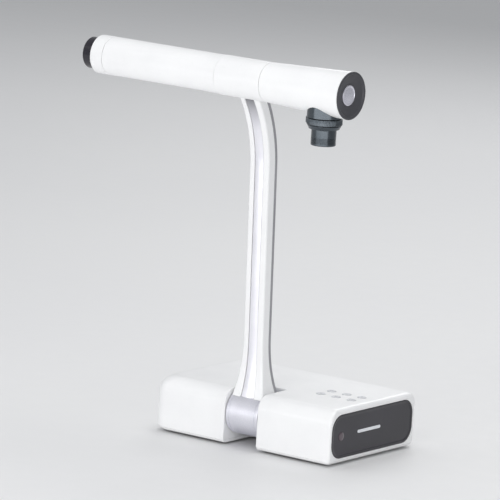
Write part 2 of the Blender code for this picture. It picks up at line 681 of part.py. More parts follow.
def make_lamp(white, black, metal, board, glow, pivot):
    near = HOUSING_HALF + SEAM
    far = TUBE_LEFT - END_CAP_LENGTH - END_RING_LENGTH - SEAM / 2
    wall = near + END_WALL_THICKNESS
    inner = LAMP_RADIUS - TUBE_WALL
    edge = LAMP_RADIUS - 0.0004
    profile = [(BORE_RADIUS, -near), (edge, -near), (LAMP_RADIUS, -near - 0.0004)]
    profile += [(LAMP_RADIUS, 0.0004 - far), (edge, -far), (inner, -far)]
    profile += [(inner, -wall), (BORE_RADIUS, -wall)]
    shell = add("lamp_shell", turned(profile, TUBE, "X"), white, pivot)
    low_x, high_x = TUBE.x - far + 0.012, TUBE.x - near - 0.016
    half = 0.0085
    low = (low_x, TUBE.y - half, TUBE.z - 0.04)
    window = box(low, (high_x, TUBE.y + half, TUBE.z - 0.012))
    cut(shell, cutter("cut_lamp_window", window, pivot))
    span = asin((half - GAP) / (LAMP_RADIUS - 0.0004))
    outline = []
    for radius, order in ((LAMP_RADIUS - 0.0004, 1), (LAMP_RADIUS - TUBE_WALL, -1)):
        for k in range(7):
            angle = -pi / 2 + order * span * (k / 3 - 1)
            outline.append(((half - GAP) * (k / 3 - 1) * order, radius * sin(angle)))
    ends = (low_x + GAP - TUBE.x, high_x - GAP - TUBE.x)
    add("lamp_diffuser", extruded_x(outline, *ends, TUBE), glow, pivot)
    low = (low_x + 0.002, TUBE.y - 0.0075, TUBE.z - 0.0150)
    high = (high_x - 0.002, TUBE.y + 0.0075, TUBE.z - 0.0134)
    add("led_board", box(low, high), board, pivot)
    fins, pitch, half_fin, root, tip = 5, 0.0034, 0.0008, -0.0105, -0.0035
    comb = [(-0.0078, -0.0131), (0.0078, -0.0131)]
    for k in range(fins):
        centre = pitch * (fins - 1) / 2 - pitch * k
        comb += [(centre + half_fin, root), (centre + half_fin, tip)]
        comb += [(centre - half_fin, tip), (centre - half_fin, root)]
    ends = (low_x + 0.002 - TUBE.x, high_x - 0.002 - TUBE.x)
    add("lamp_heatsink", extruded_x(comb, *ends, TUBE), metal, pivot)
    start = far + SEAM
    stop = TUBE_LEFT - END_CAP_LENGTH
    profile = [(inner, -start), (edge, -start), (LAMP_RADIUS, -start - 0.0004)]
    profile += [(LAMP_RADIUS, 0.0012 - stop), (LAMP_RADIUS - 0.0012, -stop), (inner, -stop)]
    add("lamp_end_ring", turned(profile, TUBE, "X"), white, pivot)
    plug = inner - GAP
    profile = [(0, 0.006 - stop), (plug, 0.006 - stop), (plug, -stop), (END_CAP_RADIUS, -stop)]
    shoulder = END_CAP_DOME - TUBE_LEFT
    for k in range(6):
        angle = k * pi / 10
        radius = END_CAP_RADIUS * cos(angle) if k < 5 else 0
        profile.append((radius, shoulder - END_CAP_DOME * sin(angle)))
    add("lamp_end_cap", turned(profile, TUBE, "X"), black, pivot)


def head_radius(x):
    """The camera head widens steadily from the housing to its end."""
    start = HOUSING_HALF + SEAM
    share = (x - start) / (TUBE_RIGHT - BEZEL_LENGTH - start)
    return HEAD_START_RADIUS + (HEAD_END_RADIUS - HEAD_START_RADIUS) * share


def make_head(white, black, metal, pivot, button_pivot):
    near = HOUSING_HALF + SEAM
    far = TUBE_RIGHT - BEZEL_LENGTH - SEAM / 2
    wall = near + END_WALL_THICKNESS
    start, stop = head_radius(near), head_radius(far)
    profile = [(BORE_RADIUS, near), (start - 0.0004, near), (start, near + 0.0004)]
    profile += [(stop, far - 0.0004), (stop - 0.0004, far), (stop - TUBE_WALL, far)]
    profile += [(start - TUBE_WALL, wall), (BORE_RADIUS, wall)]
    shell = add("head_shell", turned(profile, TUBE, "X"), white, pivot)
    lens_hole = disc(LENS_BORE_RADIUS, -0.04, -0.010, LENS, segments=ROUND)
    cut(shell, cutter("cut_lens_hole", lens_hole, pivot))
    low, high = far + SEAM, TUBE_RIGHT
    hole = 0.0118
    spigot = stop - TUBE_WALL - GAP - 0.0002
    floor = high - BEZEL_DISH
    profile = [(hole, low - 0.006), (spigot, low - 0.006), (spigot, low), (HEAD_END_RADIUS, low)]
    profile += [(HEAD_END_RADIUS, high - 0.0005), (HEAD_END_RADIUS - 0.0006, high)]
    profile += [(spigot - 0.0004, high), (hole, floor)]
    add("head_end_bezel", turned(profile, TUBE, "X"), black, pivot)
    press = hole - GAP
    profile = [(0, floor - 0.0045), (press, floor - 0.0045), (press, floor)]
    profile += [(press - 0.001, floor + 0.0008), (0, floor + 0.0012)]
    add("focus_button", turned(profile, TUBE, "X", ROUND), metal, button_pivot)


SADDLE_BOTTOM = 0.0288
RING_TOP = 0.0292
RING_BOTTOM = 0.0362
COLLAR_TOP = 0.0366
COLLAR_BOTTOM = 0.0412
TAB_REACH = 0.0028
TAB_HALF_ANGLE = radians(24)


def ring_tab(angle, radius):
    """Finger tab: a bump on the ring's rim, on the side away from the bezel."""
    away = abs(angle - pi)
    if radius < LENS_BORE_RADIUS + 0.002:
        return 0.0
    return TAB_REACH * max(0.0, 1 - away / TAB_HALF_ANGLE) ** 0.5


def make_lens(black, metal, glass, board, pivot, ring_pivot):
    bore = LENS_BORE_RADIUS + GAP
    saddle = tube(COLLAR_RADIUS, bore, -SADDLE_BOTTOM, -0.012, LENS)
    start, stop = TUBE.x + HOUSING_HALF, TUBE.x + TUBE_RIGHT
    small, large = head_radius(HOUSING_HALF) + GAP, head_radius(TUBE_RIGHT) + GAP
    profile = [(0, start), (small, start), (large, stop), (0, stop)]
    head_space = turned(profile, Vector((0, TUBE.y, TUBE.z)), "X", ROUND)
    cut(add("lens_saddle", saddle, black, pivot), cutter("cut_head_space", head_space, pivot))
    rim = COLLAR_RADIUS
    edge = rim - 0.0006
    profile = [(bore, -RING_TOP), (bore, -RING_BOTTOM), (edge, -RING_BOTTOM)]
    profile += [(rim, 0.0006 - RING_BOTTOM), (rim, -RING_TOP - 0.0006), (edge, -RING_TOP)]
    add("lens_ring", turned(profile, LENS, segments=48, swell=ring_tab), black, ring_pivot)
    profile = [(bore, -COLLAR_TOP), (bore, -COLLAR_BOTTOM)]
    profile += [(COLLAR_RADIUS - 0.003, -COLLAR_BOTTOM), (COLLAR_RADIUS - 0.0007, -COLLAR_TOP)]
    add("lens_collar", turned(profile, LENS), black, pivot)
    low, neck, top = LENS_BOTTOM, COLLAR_BOTTOM + GAP, 0.012
    neck_radius = LENS_BORE_RADIUS - GAP
    profile = [(0.0090, -top), (0.0090, 0.004 - low), (0.0114, 0.004 - low), (0.0122, -low)]
    profile += [(LENS_RADIUS - 0.0006, -low), (LENS_RADIUS, 0.0006 - low)]
    profile += [(LENS_RADIUS, -neck), (neck_radius, -neck), (neck_radius, -top)]
    add("lens_barrel", turned(profile, LENS), black, pivot)
    seat = 0.0037 - low
    profile = [(0, seat), (0.0111, seat), (0.0111, seat - 0.0008)]
    profile += [(0.0080, seat - 0.0017), (0, seat - 0.0024)]
    add("lens_glass", turned(profile, LENS, segments=ROUND), glass, pivot)
    for name, half, bottom, upper, finish in (
        ("image_sensor", 0.0045, 0.0112, 0.0094, metal),
        ("sensor_board", 0.0150, 0.0090, 0.0074, board),
    ):
        low, high = LENS - Vector((half, half, bottom)), LENS + Vector((half, half, -upper))
        add(name, box(low, high), finish, pivot)


def main():
    for existing in list(bpy.data.objects):
        bpy.data.objects.remove(existing, do_unlink=True)
    white = material("white_casing", (0.86, 0.86, 0.85), 0.35)
    silver = material("silver_paint", (0.62, 0.62, 0.66), 0.38, 0.3)
    grey = material("grey_casing", (0.42, 0.42, 0.44), 0.45)
    button_grey = material("button_grey", (0.70, 0.70, 0.72), 0.45)
    dark = material("dark_plastic", (0.05, 0.05, 0.055), 0.5)
    gloss = material("black_gloss", (0.045, 0.045, 0.065), 0.12)
    light = material("status_light", (0.95, 0.96, 1.0), 0.3)
    window = material("ir_window", (0.08, 0.03, 0.06), 0.1)
    rubber = material("rubber", (0.03, 0.03, 0.03), 0.8)
    steel = material("steel", (0.55, 0.55, 0.56), 0.35, 1.0)
    metal = material("aluminium", (0.70, 0.70, 0.72), 0.35, 1.0)
    board = material("circuit_board", (0.03, 0.22, 0.10), 0.5)
    glow = material("diffuser", (0.93, 0.94, 0.95), 0.5)
    glass = material("lens_glass", (0.05, 0.07, 0.14), 0.03)

    arm_hinge = empty("arm_hinge", HUB)
    lamp_turn = empty("lamp_turn", TUBE, arm_hinge)
    camera_turn = empty("camera_turn", TUBE, arm_hinge)
    ring_turn = empty("ring_turn", LENS, camera_turn)
    end_press = empty("end_press", TUBE + Vector((TUBE_RIGHT, 0, 0)), camera_turn)

    make_base_shell(white)
    make_base_plate(dark, steel, rubber)
    make_end_panel(gloss, light, window)
    make_buttons(button_grey, lambda name, place: empty(f"press_{name}", place))
    make_ports(steel, dark)
    make_base_insides(steel, board)
    make_hinge(steel, dark)
    make_arm(silver, white, grey, metal, rubber, arm_hinge)
    make_centre_housing(white, arm_hinge)
    make_pivot("lamp_pivot", -1, metal, arm_hinge)
    make_pivot("camera_pivot", 1, metal, arm_hinge)
    make_lamp(white, gloss, metal, board, glow, lamp_turn)
    make_head(white, dark, metal, camera_turn, end_press)
    make_lens(gloss, metal, glass, board, camera_turn, ring_turn)


main()
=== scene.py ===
"""Looks of the desktop document camera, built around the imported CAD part.

Metres, +Z up, in the CAD frame: X runs along the base and the tube, -Y is the front.
"""

import json
from math import asin, cos, pi, radians, sin, sqrt, tan

import bmesh
import bpy
from mathutils import Matrix, Vector


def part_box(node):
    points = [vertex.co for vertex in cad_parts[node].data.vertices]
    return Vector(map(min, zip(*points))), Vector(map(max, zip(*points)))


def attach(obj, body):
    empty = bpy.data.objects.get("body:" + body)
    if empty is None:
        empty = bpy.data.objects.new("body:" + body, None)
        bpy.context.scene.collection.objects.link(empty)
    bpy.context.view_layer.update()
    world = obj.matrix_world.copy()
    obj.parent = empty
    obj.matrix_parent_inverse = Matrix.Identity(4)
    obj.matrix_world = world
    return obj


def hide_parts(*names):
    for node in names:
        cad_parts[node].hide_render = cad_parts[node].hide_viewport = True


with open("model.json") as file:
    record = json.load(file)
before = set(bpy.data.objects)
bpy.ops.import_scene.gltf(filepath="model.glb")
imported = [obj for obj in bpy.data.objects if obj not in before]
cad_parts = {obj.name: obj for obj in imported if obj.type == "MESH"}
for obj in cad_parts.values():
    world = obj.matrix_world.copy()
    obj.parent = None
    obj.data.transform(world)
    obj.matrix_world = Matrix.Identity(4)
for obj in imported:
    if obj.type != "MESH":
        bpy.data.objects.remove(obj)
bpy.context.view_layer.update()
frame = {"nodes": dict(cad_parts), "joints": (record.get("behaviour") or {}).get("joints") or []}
NODES = frame["nodes"]
JOINT_AT = {joint["name"]: Vector(joint["pos_m"]) for joint in frame["joints"] if "pos_m" in joint}

# Places read from the frame
BASE_LOW, BASE_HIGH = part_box("base_shell")
LEFT_X, FRONT_Y, FOOT_Z = BASE_LOW
RIGHT_X, BACK_Y, BASE_TOP = BASE_HIGH
HUB = JOINT_AT["arm_hinge"]
TUBE = JOINT_AT["camera_tilt"]
LENS = JOINT_AT["lens_turn"]
ARM_X = HUB.x

# Sizes repeated from the part's source
GAP = 0.0003
WALL = 0.0025
END_WALL = 0.0050
TOP_FRONT_ROUND, TOP_BACK_ROUND, TOP_LEFT_ROUND, TOP_RIGHT_ROUND = 0.017, 0.012, 0.016, 0.006
BOTTOM_ROUND = 0.0055
CORNER_ROUNDS = (0.018, 0.0035, 0.007, 0.018)
NOTCH_HALF, NOTCH_DEPTH, NOTCH_ROUND = 0.023, 0.0555, 0.004
HUB_RADIUS, HUB_HALF, PIN_RADIUS = 0.026, 0.0222, 0.004
ARM_LEAN, ARM_STRAIGHT = radians(2.2), 0.285
ARM_BEND, ARM_BEND_RADIUS = radians(31.0), 0.160
ARM_TO_TUBE_AXIS = 0.0265
ARM_HALF_WIDTH, ARM_HALF_DEPTH = 0.0136, 0.009
FOOT_HALF_WIDTH, FOOT_HALF_DEPTH = 0.0218, 0.0165
FLARE_START, FLARE_END = 0.020, 0.088
STRIP_HALF_WIDTH, STRIP_FLARE = 0.0063, 0.354
COVER_THICKNESS, REAR_COVER_DEPTH, ARM_WALL = 0.0018, 0.0055, 0.0040
TUBE_LEFT, TUBE_RIGHT, HOUSING_HALF, SEAM = 0.222, 0.142, 0.031, 0.0004
LAMP_RADIUS, HEAD_START_RADIUS, HEAD_END_RADIUS = 0.0220, 0.0225, 0.0268
TUBE_WALL, BORE_RADIUS, END_WALL_THICKNESS = 0.0022, 0.0125, 0.003
END_RING_LENGTH, END_CAP_LENGTH, END_CAP_RADIUS, END_CAP_DOME = 0.017, 0.0155, 0.0180, 0.003
BEZEL_LENGTH, BEZEL_DISH = 0.0012, 0.004
LENS_RADIUS, LENS_BORE_RADIUS, LENS_BOTTOM, COLLAR_RADIUS = 0.0140, 0.0128, 0.0595, 0.0200
SADDLE_BOTTOM, RING_TOP, RING_BOTTOM = 0.0288, 0.0292, 0.0362
COLLAR_TOP, COLLAR_BOTTOM = 0.0366, 0.0412
PANEL_LOW_Z, PANEL_HIGH_Z, PANEL_FRONT, PANEL_BACK = 0.0086, 0.0586, 0.0035, 0.0075
PANEL_ROUND, PANEL_THICKNESS = 0.0175, 0.0022
BUTTON_RADIUS = 0.0052

# How far a cutting tool stands clear of the wall it cuts
CLEAR = 0.01


# ---- camera
CAMERA_AT = Vector((3.4063, -4.7065, 1.2926))
CAMERA_AIM = Vector((0.02636, -0.04018, 0.22469))
CAMERA_ROLL = radians(3.393)
CAMERA_LENS, CAMERA_SENSOR, CAMERA_REACH = 374.6, 36, 100


def make_camera():
    data = bpy.data.cameras.new("view")
    data.lens = CAMERA_LENS
    data.sensor_width = CAMERA_SENSOR
    data.clip_end = CAMERA_REACH
    camera = bpy.data.objects.new("view", data)
    bpy.context.scene.collection.objects.link(camera)
    look = (CAMERA_AIM - CAMERA_AT).to_track_quat("-Z", "Y").to_matrix()
    turn = look @ Matrix.Rotation(CAMERA_ROLL, 3, "Z")
    camera.matrix_world = Matrix.Translation(CAMERA_AT) @ turn.to_4x4()
    bpy.context.scene.camera = camera


# ---- material helpers
# Dust colour of moulded plastic, for its dust patches and for its painted shade and dust in seams
DUST_AND_SHADE_COLOUR = (0.62, 0.61, 0.59)
# Reach and samples of the ambient occlusion that paints shade and dust into seams
SEAM_REACH, SEAM_SAMPLES = 0.004, 6


def new_finish(name):
    made = bpy.data.materials.new(name)
    made.use_nodes = True
    return made, made.node_tree


def fill(tree, sockets, values):
    """Links each input to a socket, or sets it to a number, a vector or a colour of three numbers."""
    for socket, value in zip(sockets, values):
        if isinstance(value, bpy.types.NodeSocket):
            tree.links.new(value, socket)
        else:
            socket.default_value = (*value, 1.0) if socket.type == "RGBA" else value


def named(made, inputs):
    """The inputs of a node that go by these names, which have _ for a space."""
    return [made.inputs[key.replace("_", " ")] for key in inputs]


def node(tree, kind, settings=(), **inputs):
    """A node with its settings and its inputs."""
    made = tree.nodes.new(kind)
    for key, value in dict(settings).items():
        setattr(made, key, value)
    fill(tree, named(made, inputs), inputs.values())
    return made


def computed(tree, kind, operation, *values):
    """The outputs of a math node."""
    made = node(tree, kind, {"operation": operation})
    fill(tree, made.inputs, values)
    return made.outputs


def math(tree, operation, *values):
    return computed(tree, "ShaderNodeMath", operation, *values)["Value"]


def place(tree):
    return tree.nodes.new("ShaderNodeTexCoord").outputs["Object"]


def coordinates(tree):
    """The object coordinates as the outputs X, Y and Z."""
    return node(tree, "ShaderNodeSeparateXYZ", Vector=place(tree)).outputs


def stretched(tree, scale):
    """Object coordinates stretched by a different scale on each axis."""
    return node(tree, "ShaderNodeMapping", Vector=place(tree), Scale=scale).outputs["Vector"]


def radius_about(tree, centre, across):
    """Distance from an axis through centre; across is 0 along the axis and 1 on the other two."""
    offset = computed(tree, "ShaderNodeVectorMath", "SUBTRACT", place(tree), centre)["Vector"]
    flat = computed(tree, "ShaderNodeVectorMath", "MULTIPLY", offset, across)["Vector"]
    return computed(tree, "ShaderNodeVectorMath", "LENGTH", flat)["Value"]


def noise(tree, scale, detail, vector=None, roughness=0.5):
    vector = vector or place(tree)
    inputs = {"Scale": scale, "Detail": detail, "Roughness": roughness}
    return node(tree, "ShaderNodeTexNoise", Vector=vector, **inputs).outputs["Fac"]


def ranged(tree, value, low, high, to_low=0, to_high=1):
    """The value, stretched from one range to another."""
    limits = {"From_Min": low, "From_Max": high, "To_Min": to_low, "To_Max": to_high}
    return node(tree, "ShaderNodeMapRange", Value=value, **limits).outputs["Result"]


def mixed(tree, share, first, second):
    """A colour between two colours, either of them a socket or three numbers."""
    made = node(tree, "ShaderNodeMix", {"data_type": "RGBA"}, Factor=share)
    fill(tree, [socket for socket in made.inputs if socket.type == "RGBA"], (first, second))
    return next(socket for socket in made.outputs if socket.type == "RGBA")


def mottled(tree, scale, detail, low, high, first, second, most=1):
    """The first colour with patches of the second, where noise rises from low to high."""
    return mixed(tree, ranged(tree, noise(tree, scale, detail), low, high, 0, most), first, second)


def dust_and_shade_in_seams(tree, base, colour, open_from):
    """Painted shade in seams and corners: where ambient occlusion finds them, the base colour goes halfway
    to another one, a dust colour or a darker shade.
    """
    shade = node(tree, "ShaderNodeAmbientOcclusion", {"samples": SEAM_SAMPLES}, Distance=SEAM_REACH)
    return mixed(tree, ranged(tree, shade.outputs["AO"], 0.0, open_from, 0.5, 0.0), base, colour)


def scaled(colour, factor, lift=0.0):
    return tuple(min(1, channel * factor + lift) for channel in colour)


def shade(tree, colour, roughness, **inputs):
    """Gives the shader its colour, its roughness and its other inputs."""
    inputs |= {"Base_Color": colour, "Roughness": roughness}
    fill(tree, named(tree.nodes["Principled BSDF"], inputs), inputs.values())


def surface(tree, colour, roughness, height, strength, depth, **inputs):
    """A shader with a bump of this strength and depth."""
    bump = node(tree, "ShaderNodeBump", Strength=strength, Distance=depth, Height=height)
    shade(tree, colour, roughness, Normal=bump.outputs["Normal"], **inputs)


# ---- materials
def moulded(name, light, dark, roughness, grain=2400, depth=0.00002, dust_and_shade=DUST_AND_SHADE_COLOUR, **fixed):
    """Moulded plastic: spark-eroded grain, faint mottling, dust patches, and painted shade with dust in the
    seams.
    """
    made, tree = new_finish(name)
    base = mottled(tree, 22, 4, 0.35, 0.65, light, dark)
    base = mottled(tree, 260, 5, 0.55, 0.80, base, dust_and_shade, 0.06)
    # painted shade and dust: ambient occlusion pulls the colour towards the dust colour in seams and corners
    base = dust_and_shade_in_seams(tree, base, dust_and_shade, 0.55)
    rough = ranged(tree, noise(tree, 60, 5, roughness=0.6), 0.3, 0.7, *roughness)
    surface(tree, base, rough, noise(tree, grain, 3, roughness=0.65), 0.5, depth, **fixed)
    return made


def painted(name, light, dark, roughness, metallic, upward_shade=None, **fixed):
    """Metallic paint: fine flakes of uneven brightness under a clear coat, with light orange peel, and
    painted shade in its seams and corners.

    With a painted shade given as (start height, end height, colour), the paint darkens smoothly upwards to
    that colour.
    """
    made, tree = new_finish(name)
    cells = node(tree, "ShaderNodeTexVoronoi", Vector=place(tree), Scale=3200)
    split = node(tree, "ShaderNodeSeparateColor", Color=cells.outputs["Color"])
    flake = math(tree, "POWER", split.outputs[0], 3.0)
    base = mottled(tree, 30, 3, 0.3, 0.7, light, dark)
    base = mixed(tree, math(tree, "MULTIPLY", flake, 0.45), base, scaled(light, 1.35))
    # painted shade: ambient occlusion darkens the paint in seams and corners
    base = dust_and_shade_in_seams(tree, base, scaled(dark, 0.55), 0.6)
    # painted shade: darker towards the top, where the tube above shades the strip and is reflected in it
    if upward_shade:
        start, end, colour = upward_shade
        share = math(tree, "POWER", ranged(tree, coordinates(tree)["Z"], start, end), 1.4)
        base = mixed(tree, share, base, colour)
    rough = ranged(tree, noise(tree, 75, 4), 0.3, 0.7, *roughness)
    peel = noise(tree, 420, 2)
    surface(tree, base, rough, peel, 0.35, 0.00003, Metallic=metallic, **fixed)
    return made


def brushed(name, light, dark, along):
    """Brushed metal: long fine scratches along one axis."""
    made, tree = new_finish(name)
    scale = [1.0, 1.0, 1.0]
    scale[along] = 0.02
    lines = noise(tree, 2200, 4, stretched(tree, scale), 0.7)
    base = mixed(tree, ranged(tree, lines, 0.3, 0.7), dark, light)
    base = mottled(tree, 90, 4, 0.55, 0.8, base, scaled(dark, 0.6), 0.35)
    rough = ranged(tree, lines, 0.3, 0.7, 0.22, 0.42)
    surface(tree, base, rough, lines, 0.4, 0.00002, Metallic=1.0)
    return made


def spun(name, centre, light, dark):
    """Metal turned on a lathe: fine rings about the tube's axis."""
    made, tree = new_finish(name)
    inputs = {"W": radius_about(tree, centre, (0, 1, 1)), "Scale": 5200, "Detail": 3}
    lines = node(tree, "ShaderNodeTexNoise", {"noise_dimensions": "1D"}, **inputs).outputs["Fac"]
    base = mixed(tree, ranged(tree, lines, 0.3, 0.7), dark, light)
    base = mottled(tree, 300, 3, 0.5, 0.8, base, scaled(dark, 0.7), 0.25)
    rough = ranged(tree, lines, 0.3, 0.7, 0.24, 0.40)
    surface(tree, base, rough, lines, 0.5, 0.00002, Metallic=0.9)
    return made


def glossy(name, light, dark, roughness, coat=1.0, **fixed):
    """Polished plastic: deep colour under a hard coat, with faint smudges and dust specks."""
    made, tree = new_finish(name)
    base = mottled(tree, 16, 3, 0.35, 0.65, dark, light)
    base = mottled(tree, 1500, 2, 0.72, 0.80, base, scaled(light, 2, 0.12), 0.5)
    marks = noise(tree, 45, 5, stretched(tree, (1, 1.6, 0.7)), 0.6)
    rough = ranged(tree, marks, 0.42, 0.72, *roughness)
    fixed |= {"Coat_Weight": coat, "Coat_Roughness": 0.04}
    surface(tree, base, rough, noise(tree, 110, 2), 0.15, 0.00002, **fixed)
    return made


def board(name, mask, trace):
    """Circuit board: solder mask over lighter traces, with dots of tin."""
    made, tree = new_finish(name)
    inputs = {"Color1": mask, "Color2": scaled(mask, 0.8), "Mortar": trace, "Mortar_Size": 0.035}
    lines = node(tree, "ShaderNodeTexBrick", Vector=place(tree), Scale=260, **inputs)
    dots = node(tree, "ShaderNodeTexVoronoi", Vector=place(tree), Scale=420)
    tin = ranged(tree, dots.outputs["Distance"], 0.10, 0.16, 1, 0)
    base = mixed(tree, tin, lines.outputs["Color"], (0.62, 0.60, 0.55))
    surface(tree, base, ranged(tree, tin, 0, 1, 0.45, 0.25), tin, 0.4, 0.0001)
    return made


def rubbery(name, light, dark):
    made, tree = new_finish(name)
    base = mottled(tree, 120, 4, 0.35, 0.65, dark, light)
    rough = ranged(tree, noise(tree, 500, 3), 0.3, 0.7, 0.72, 0.92)
    surface(tree, base, rough, noise(tree, 1800, 3), 0.6, 0.00005)
    return made


GLASS_EDGE = 0.0115
# Painted reflection of the coating: colour rings from the lens axis (0) out to the glass's edge (1)
GLASS_REFLECTION_BANDS = (
    (0.0, (0.002, 0.003, 0.008)),
    (0.30, (0.010, 0.012, 0.045)),
    (0.48, (0.045, 0.018, 0.090)),
    (0.62, (0.012, 0.040, 0.060)),
    (0.80, (0.020, 0.022, 0.045)),
    (1.0, (0.006, 0.006, 0.009)),
)


def coated_glass(name):
    """Front element: dark, with a painted reflection of its coating in purple and green rings about the lens
    axis.
    """
    made, tree = new_finish(name)
    radius = ranged(tree, radius_about(tree, LENS, (1, 1, 0)), 0, GLASS_EDGE)
    ramp = node(tree, "ShaderNodeValToRGB", Fac=radius)
    band = ramp.color_ramp
    for position, _ in GLASS_REFLECTION_BANDS[1:-1]:
        band.elements.new(position)
    for element, (_, colour) in zip(band.elements, GLASS_REFLECTION_BANDS):
        element.color = (*colour, 1)
    rough = ranged(tree, noise(tree, 200, 4), 0.4, 0.8, 0.03, 0.09)
    shade(tree, ramp.outputs["Color"], rough, Coat_Weight=1.0, Coat_Roughness=0.02, IOR=1.6)
    return made


EMITTER_PITCH = 0.0118


def frosted(name):
    """Opal lamp cover: milky plastic with a dot of warm phosphor faintly showing under each emitter."""
    made, tree = new_finish(name)
    spot = coordinates(tree)
    along = math(tree, "MULTIPLY", math(tree, "SUBTRACT", spot["X"], TUBE.x), 1 / EMITTER_PITCH)
    phase = math(tree, "ABSOLUTE", math(tree, "SUBTRACT", math(tree, "FRACT", along), 0.5))
    across = math(tree, "ABSOLUTE", math(tree, "SUBTRACT", spot["Y"], TUBE.y))
    lengthwise, crosswise = ranged(tree, phase, 0.10, 0.30, 1, 0), ranged(tree, across, 0.001, 0.0045, 1, 0)
    near = math(tree, "MULTIPLY", lengthwise, crosswise)
    base = mottled(tree, 40, 3, 0.3, 0.7, (0.86, 0.87, 0.88), (0.80, 0.81, 0.82))
    base = mixed(tree, math(tree, "MULTIPLY", near, 0.55), base, (0.90, 0.80, 0.45))
    rough = ranged(tree, noise(tree, 900, 3), 0.3, 0.7, 0.38, 0.55)
    milk = {"Subsurface_Weight": 0.25, "Subsurface_Scale": 0.004}
    surface(tree, base, rough, noise(tree, 1500, 3), 0.5, 0.00003, **milk)
    return made


# Painted shade and reflection of the tube: the silver strip darkens to grey just below the tube: start
# height, end height, colour
STRIP_TUBE_SHADE = (TUBE.z - 0.062, TUBE.z - 0.020, (0.17, 0.17, 0.185))


def plastics():
    satin = {"Coat_Weight": 0.2, "Coat_Roughness": 0.2}
    # soot and chalk are dust colours, lighter than their plastics; the grey casing's darker dust colour also
    # paints shade into its seams
    soot, grey_dust_and_shade, chalk = (0.11, 0.11, 0.11), (0.17, 0.17, 0.17), (0.3, 0.3, 0.3)
    white, cream = (0.88, 0.882, 0.885), (0.85, 0.852, 0.857)
    black, shadow = (0.060, 0.060, 0.070), (0.045, 0.045, 0.052)
    steel_grey, slate = (0.095, 0.112, 0.127), (0.070, 0.082, 0.094)
    return {
        "white": moulded("white_casing", white, cream, (0.28, 0.40), **satin),
        "grey": moulded("grey_casing", (0.33, 0.33, 0.35), (0.28, 0.28, 0.30), (0.36, 0.50), dust_and_shade=grey_dust_and_shade),
        "button": moulded("button_grey", (0.64, 0.645, 0.67), (0.58, 0.585, 0.61), (0.34, 0.46), 3000),
        "dark": moulded("dark_plastic", black, shadow, (0.36, 0.52), depth=0.00004, dust_and_shade=soot),
        "mark": moulded("mark_ink", (0.20, 0.21, 0.24), (0.16, 0.17, 0.20), (0.45, 0.60), dust_and_shade=chalk),
        "gloss": glossy("black_gloss", (0.020, 0.018, 0.027), (0.013, 0.012, 0.018), (0.16, 0.28), 0.15),
        "lens": glossy("lens_black", steel_grey, slate, (0.24, 0.32), 0.3, Metallic=0.95),
        "light": glossy("status_light", (0.80, 0.82, 0.85), (0.70, 0.72, 0.76), (0.18, 0.30), 0.6),
        "window": glossy("ir_window", (0.050, 0.022, 0.038), (0.030, 0.012, 0.024), (0.04, 0.12)),
        "rubber": rubbery("rubber", (0.045, 0.045, 0.047), (0.025, 0.025, 0.026)),
        "board": board("circuit_board", (0.02, 0.16, 0.07), (0.10, 0.36, 0.18)),
        "diffuser": frosted("diffuser"),
        "glass": coated_glass("lens_glass"),
    }


def metals():
    hub_coat = {"Coat_Weight": 0.15, "Coat_Roughness": 0.3}
    strip_coat = {"Coat_Weight": 0.3, "Coat_Roughness": 0.12}
    silver, pewter = (0.79, 0.785, 0.85), (0.71, 0.71, 0.78)
    pale, lilac = (0.93, 0.92, 0.975), (0.86, 0.855, 0.915)
    return {
        "silver": painted("silver_paint", silver, pewter, (0.40, 0.48), 0.80, **hub_coat),
        "strip": painted("strip_silver_paint", pale, lilac, (0.30, 0.40), 0.75, STRIP_TUBE_SHADE, **strip_coat),
        "steel": brushed("steel", (0.60, 0.60, 0.61), (0.42, 0.42, 0.43), 0),
        "aluminium": brushed("aluminium", (0.76, 0.76, 0.78), (0.60, 0.60, 0.62), 0),
        "contact": brushed("gold_contact", (0.83, 0.62, 0.25), (0.62, 0.44, 0.15), 1),
        "button_metal": spun("focus_metal", TUBE, (0.86, 0.85, 0.92), (0.70, 0.69, 0.77)),
    }


FINISHES = plastics() | metals()
# The record's slot that each finish fills
SLOTS = {
    "white": "white_casing", "grey": "grey_casing", "mark": "grey_casing", "button": "button_grey",
    "dark": "dark_plastic", "gloss": "black_gloss", "lens": "black_gloss", "light": "status_light",
    "window": "ir_window", "rubber": "rubber", "diffuser": "diffuser", "glass": "lens_glass",
    "silver": "silver_paint", "strip": "silver_paint", "steel": "steel", "contact": "steel",
    "button_metal": "aluminium",
}


# ---- mesh helpers
def fillet(points, steps=6):
    """Closed outline of (a, b, radius) corners with every corner rounded; a radius of 0 stays sharp."""
    outline = []
    for i, (a, b, radius) in enumerate(points):
        here = Vector((a, b))
        back = Vector(points[i - 1][:2]) - here
        ahead = Vector(points[(i + 1) % len(points)][:2]) - here
        corner = back.angle(ahead)
        if radius <= 0 or corner > radians(176):
            outline.append((a, b))
            continue
        reach = radius / tan(corner / 2)
        most = 0.49 * min(back.length, ahead.length)
        if reach > most:
            radius, reach = radius * most / reach, most
        centre = here + (back.normalized() + ahead.normalized()).normalized() * (radius / sin(corner / 2))
        first = here + back.normalized() * reach - centre
        last = here + ahead.normalized() * reach - centre
        sweep = pi - corner
        for k in range(steps + 1):
            share = k / steps
            spoke = (first * sin((1 - share) * sweep) + last * sin(share * sweep)) / sin(sweep)
            outline.append(tuple(centre + spoke))
    return outline


def mirrored(right):
    """The right half of a section followed by its mirror image."""
    return right + [(-a, b, radius) for a, b, radius in reversed(right)]


def rectangle(half_a, half_b, radius, centre=(0.0, 0.0), steps=6):
    a, b = centre
    signs = ((-1, -1), (1, -1), (1, 1), (-1, 1))
    return fillet([(a + i * half_a, b + j * half_b, radius) for i, j in signs], steps)


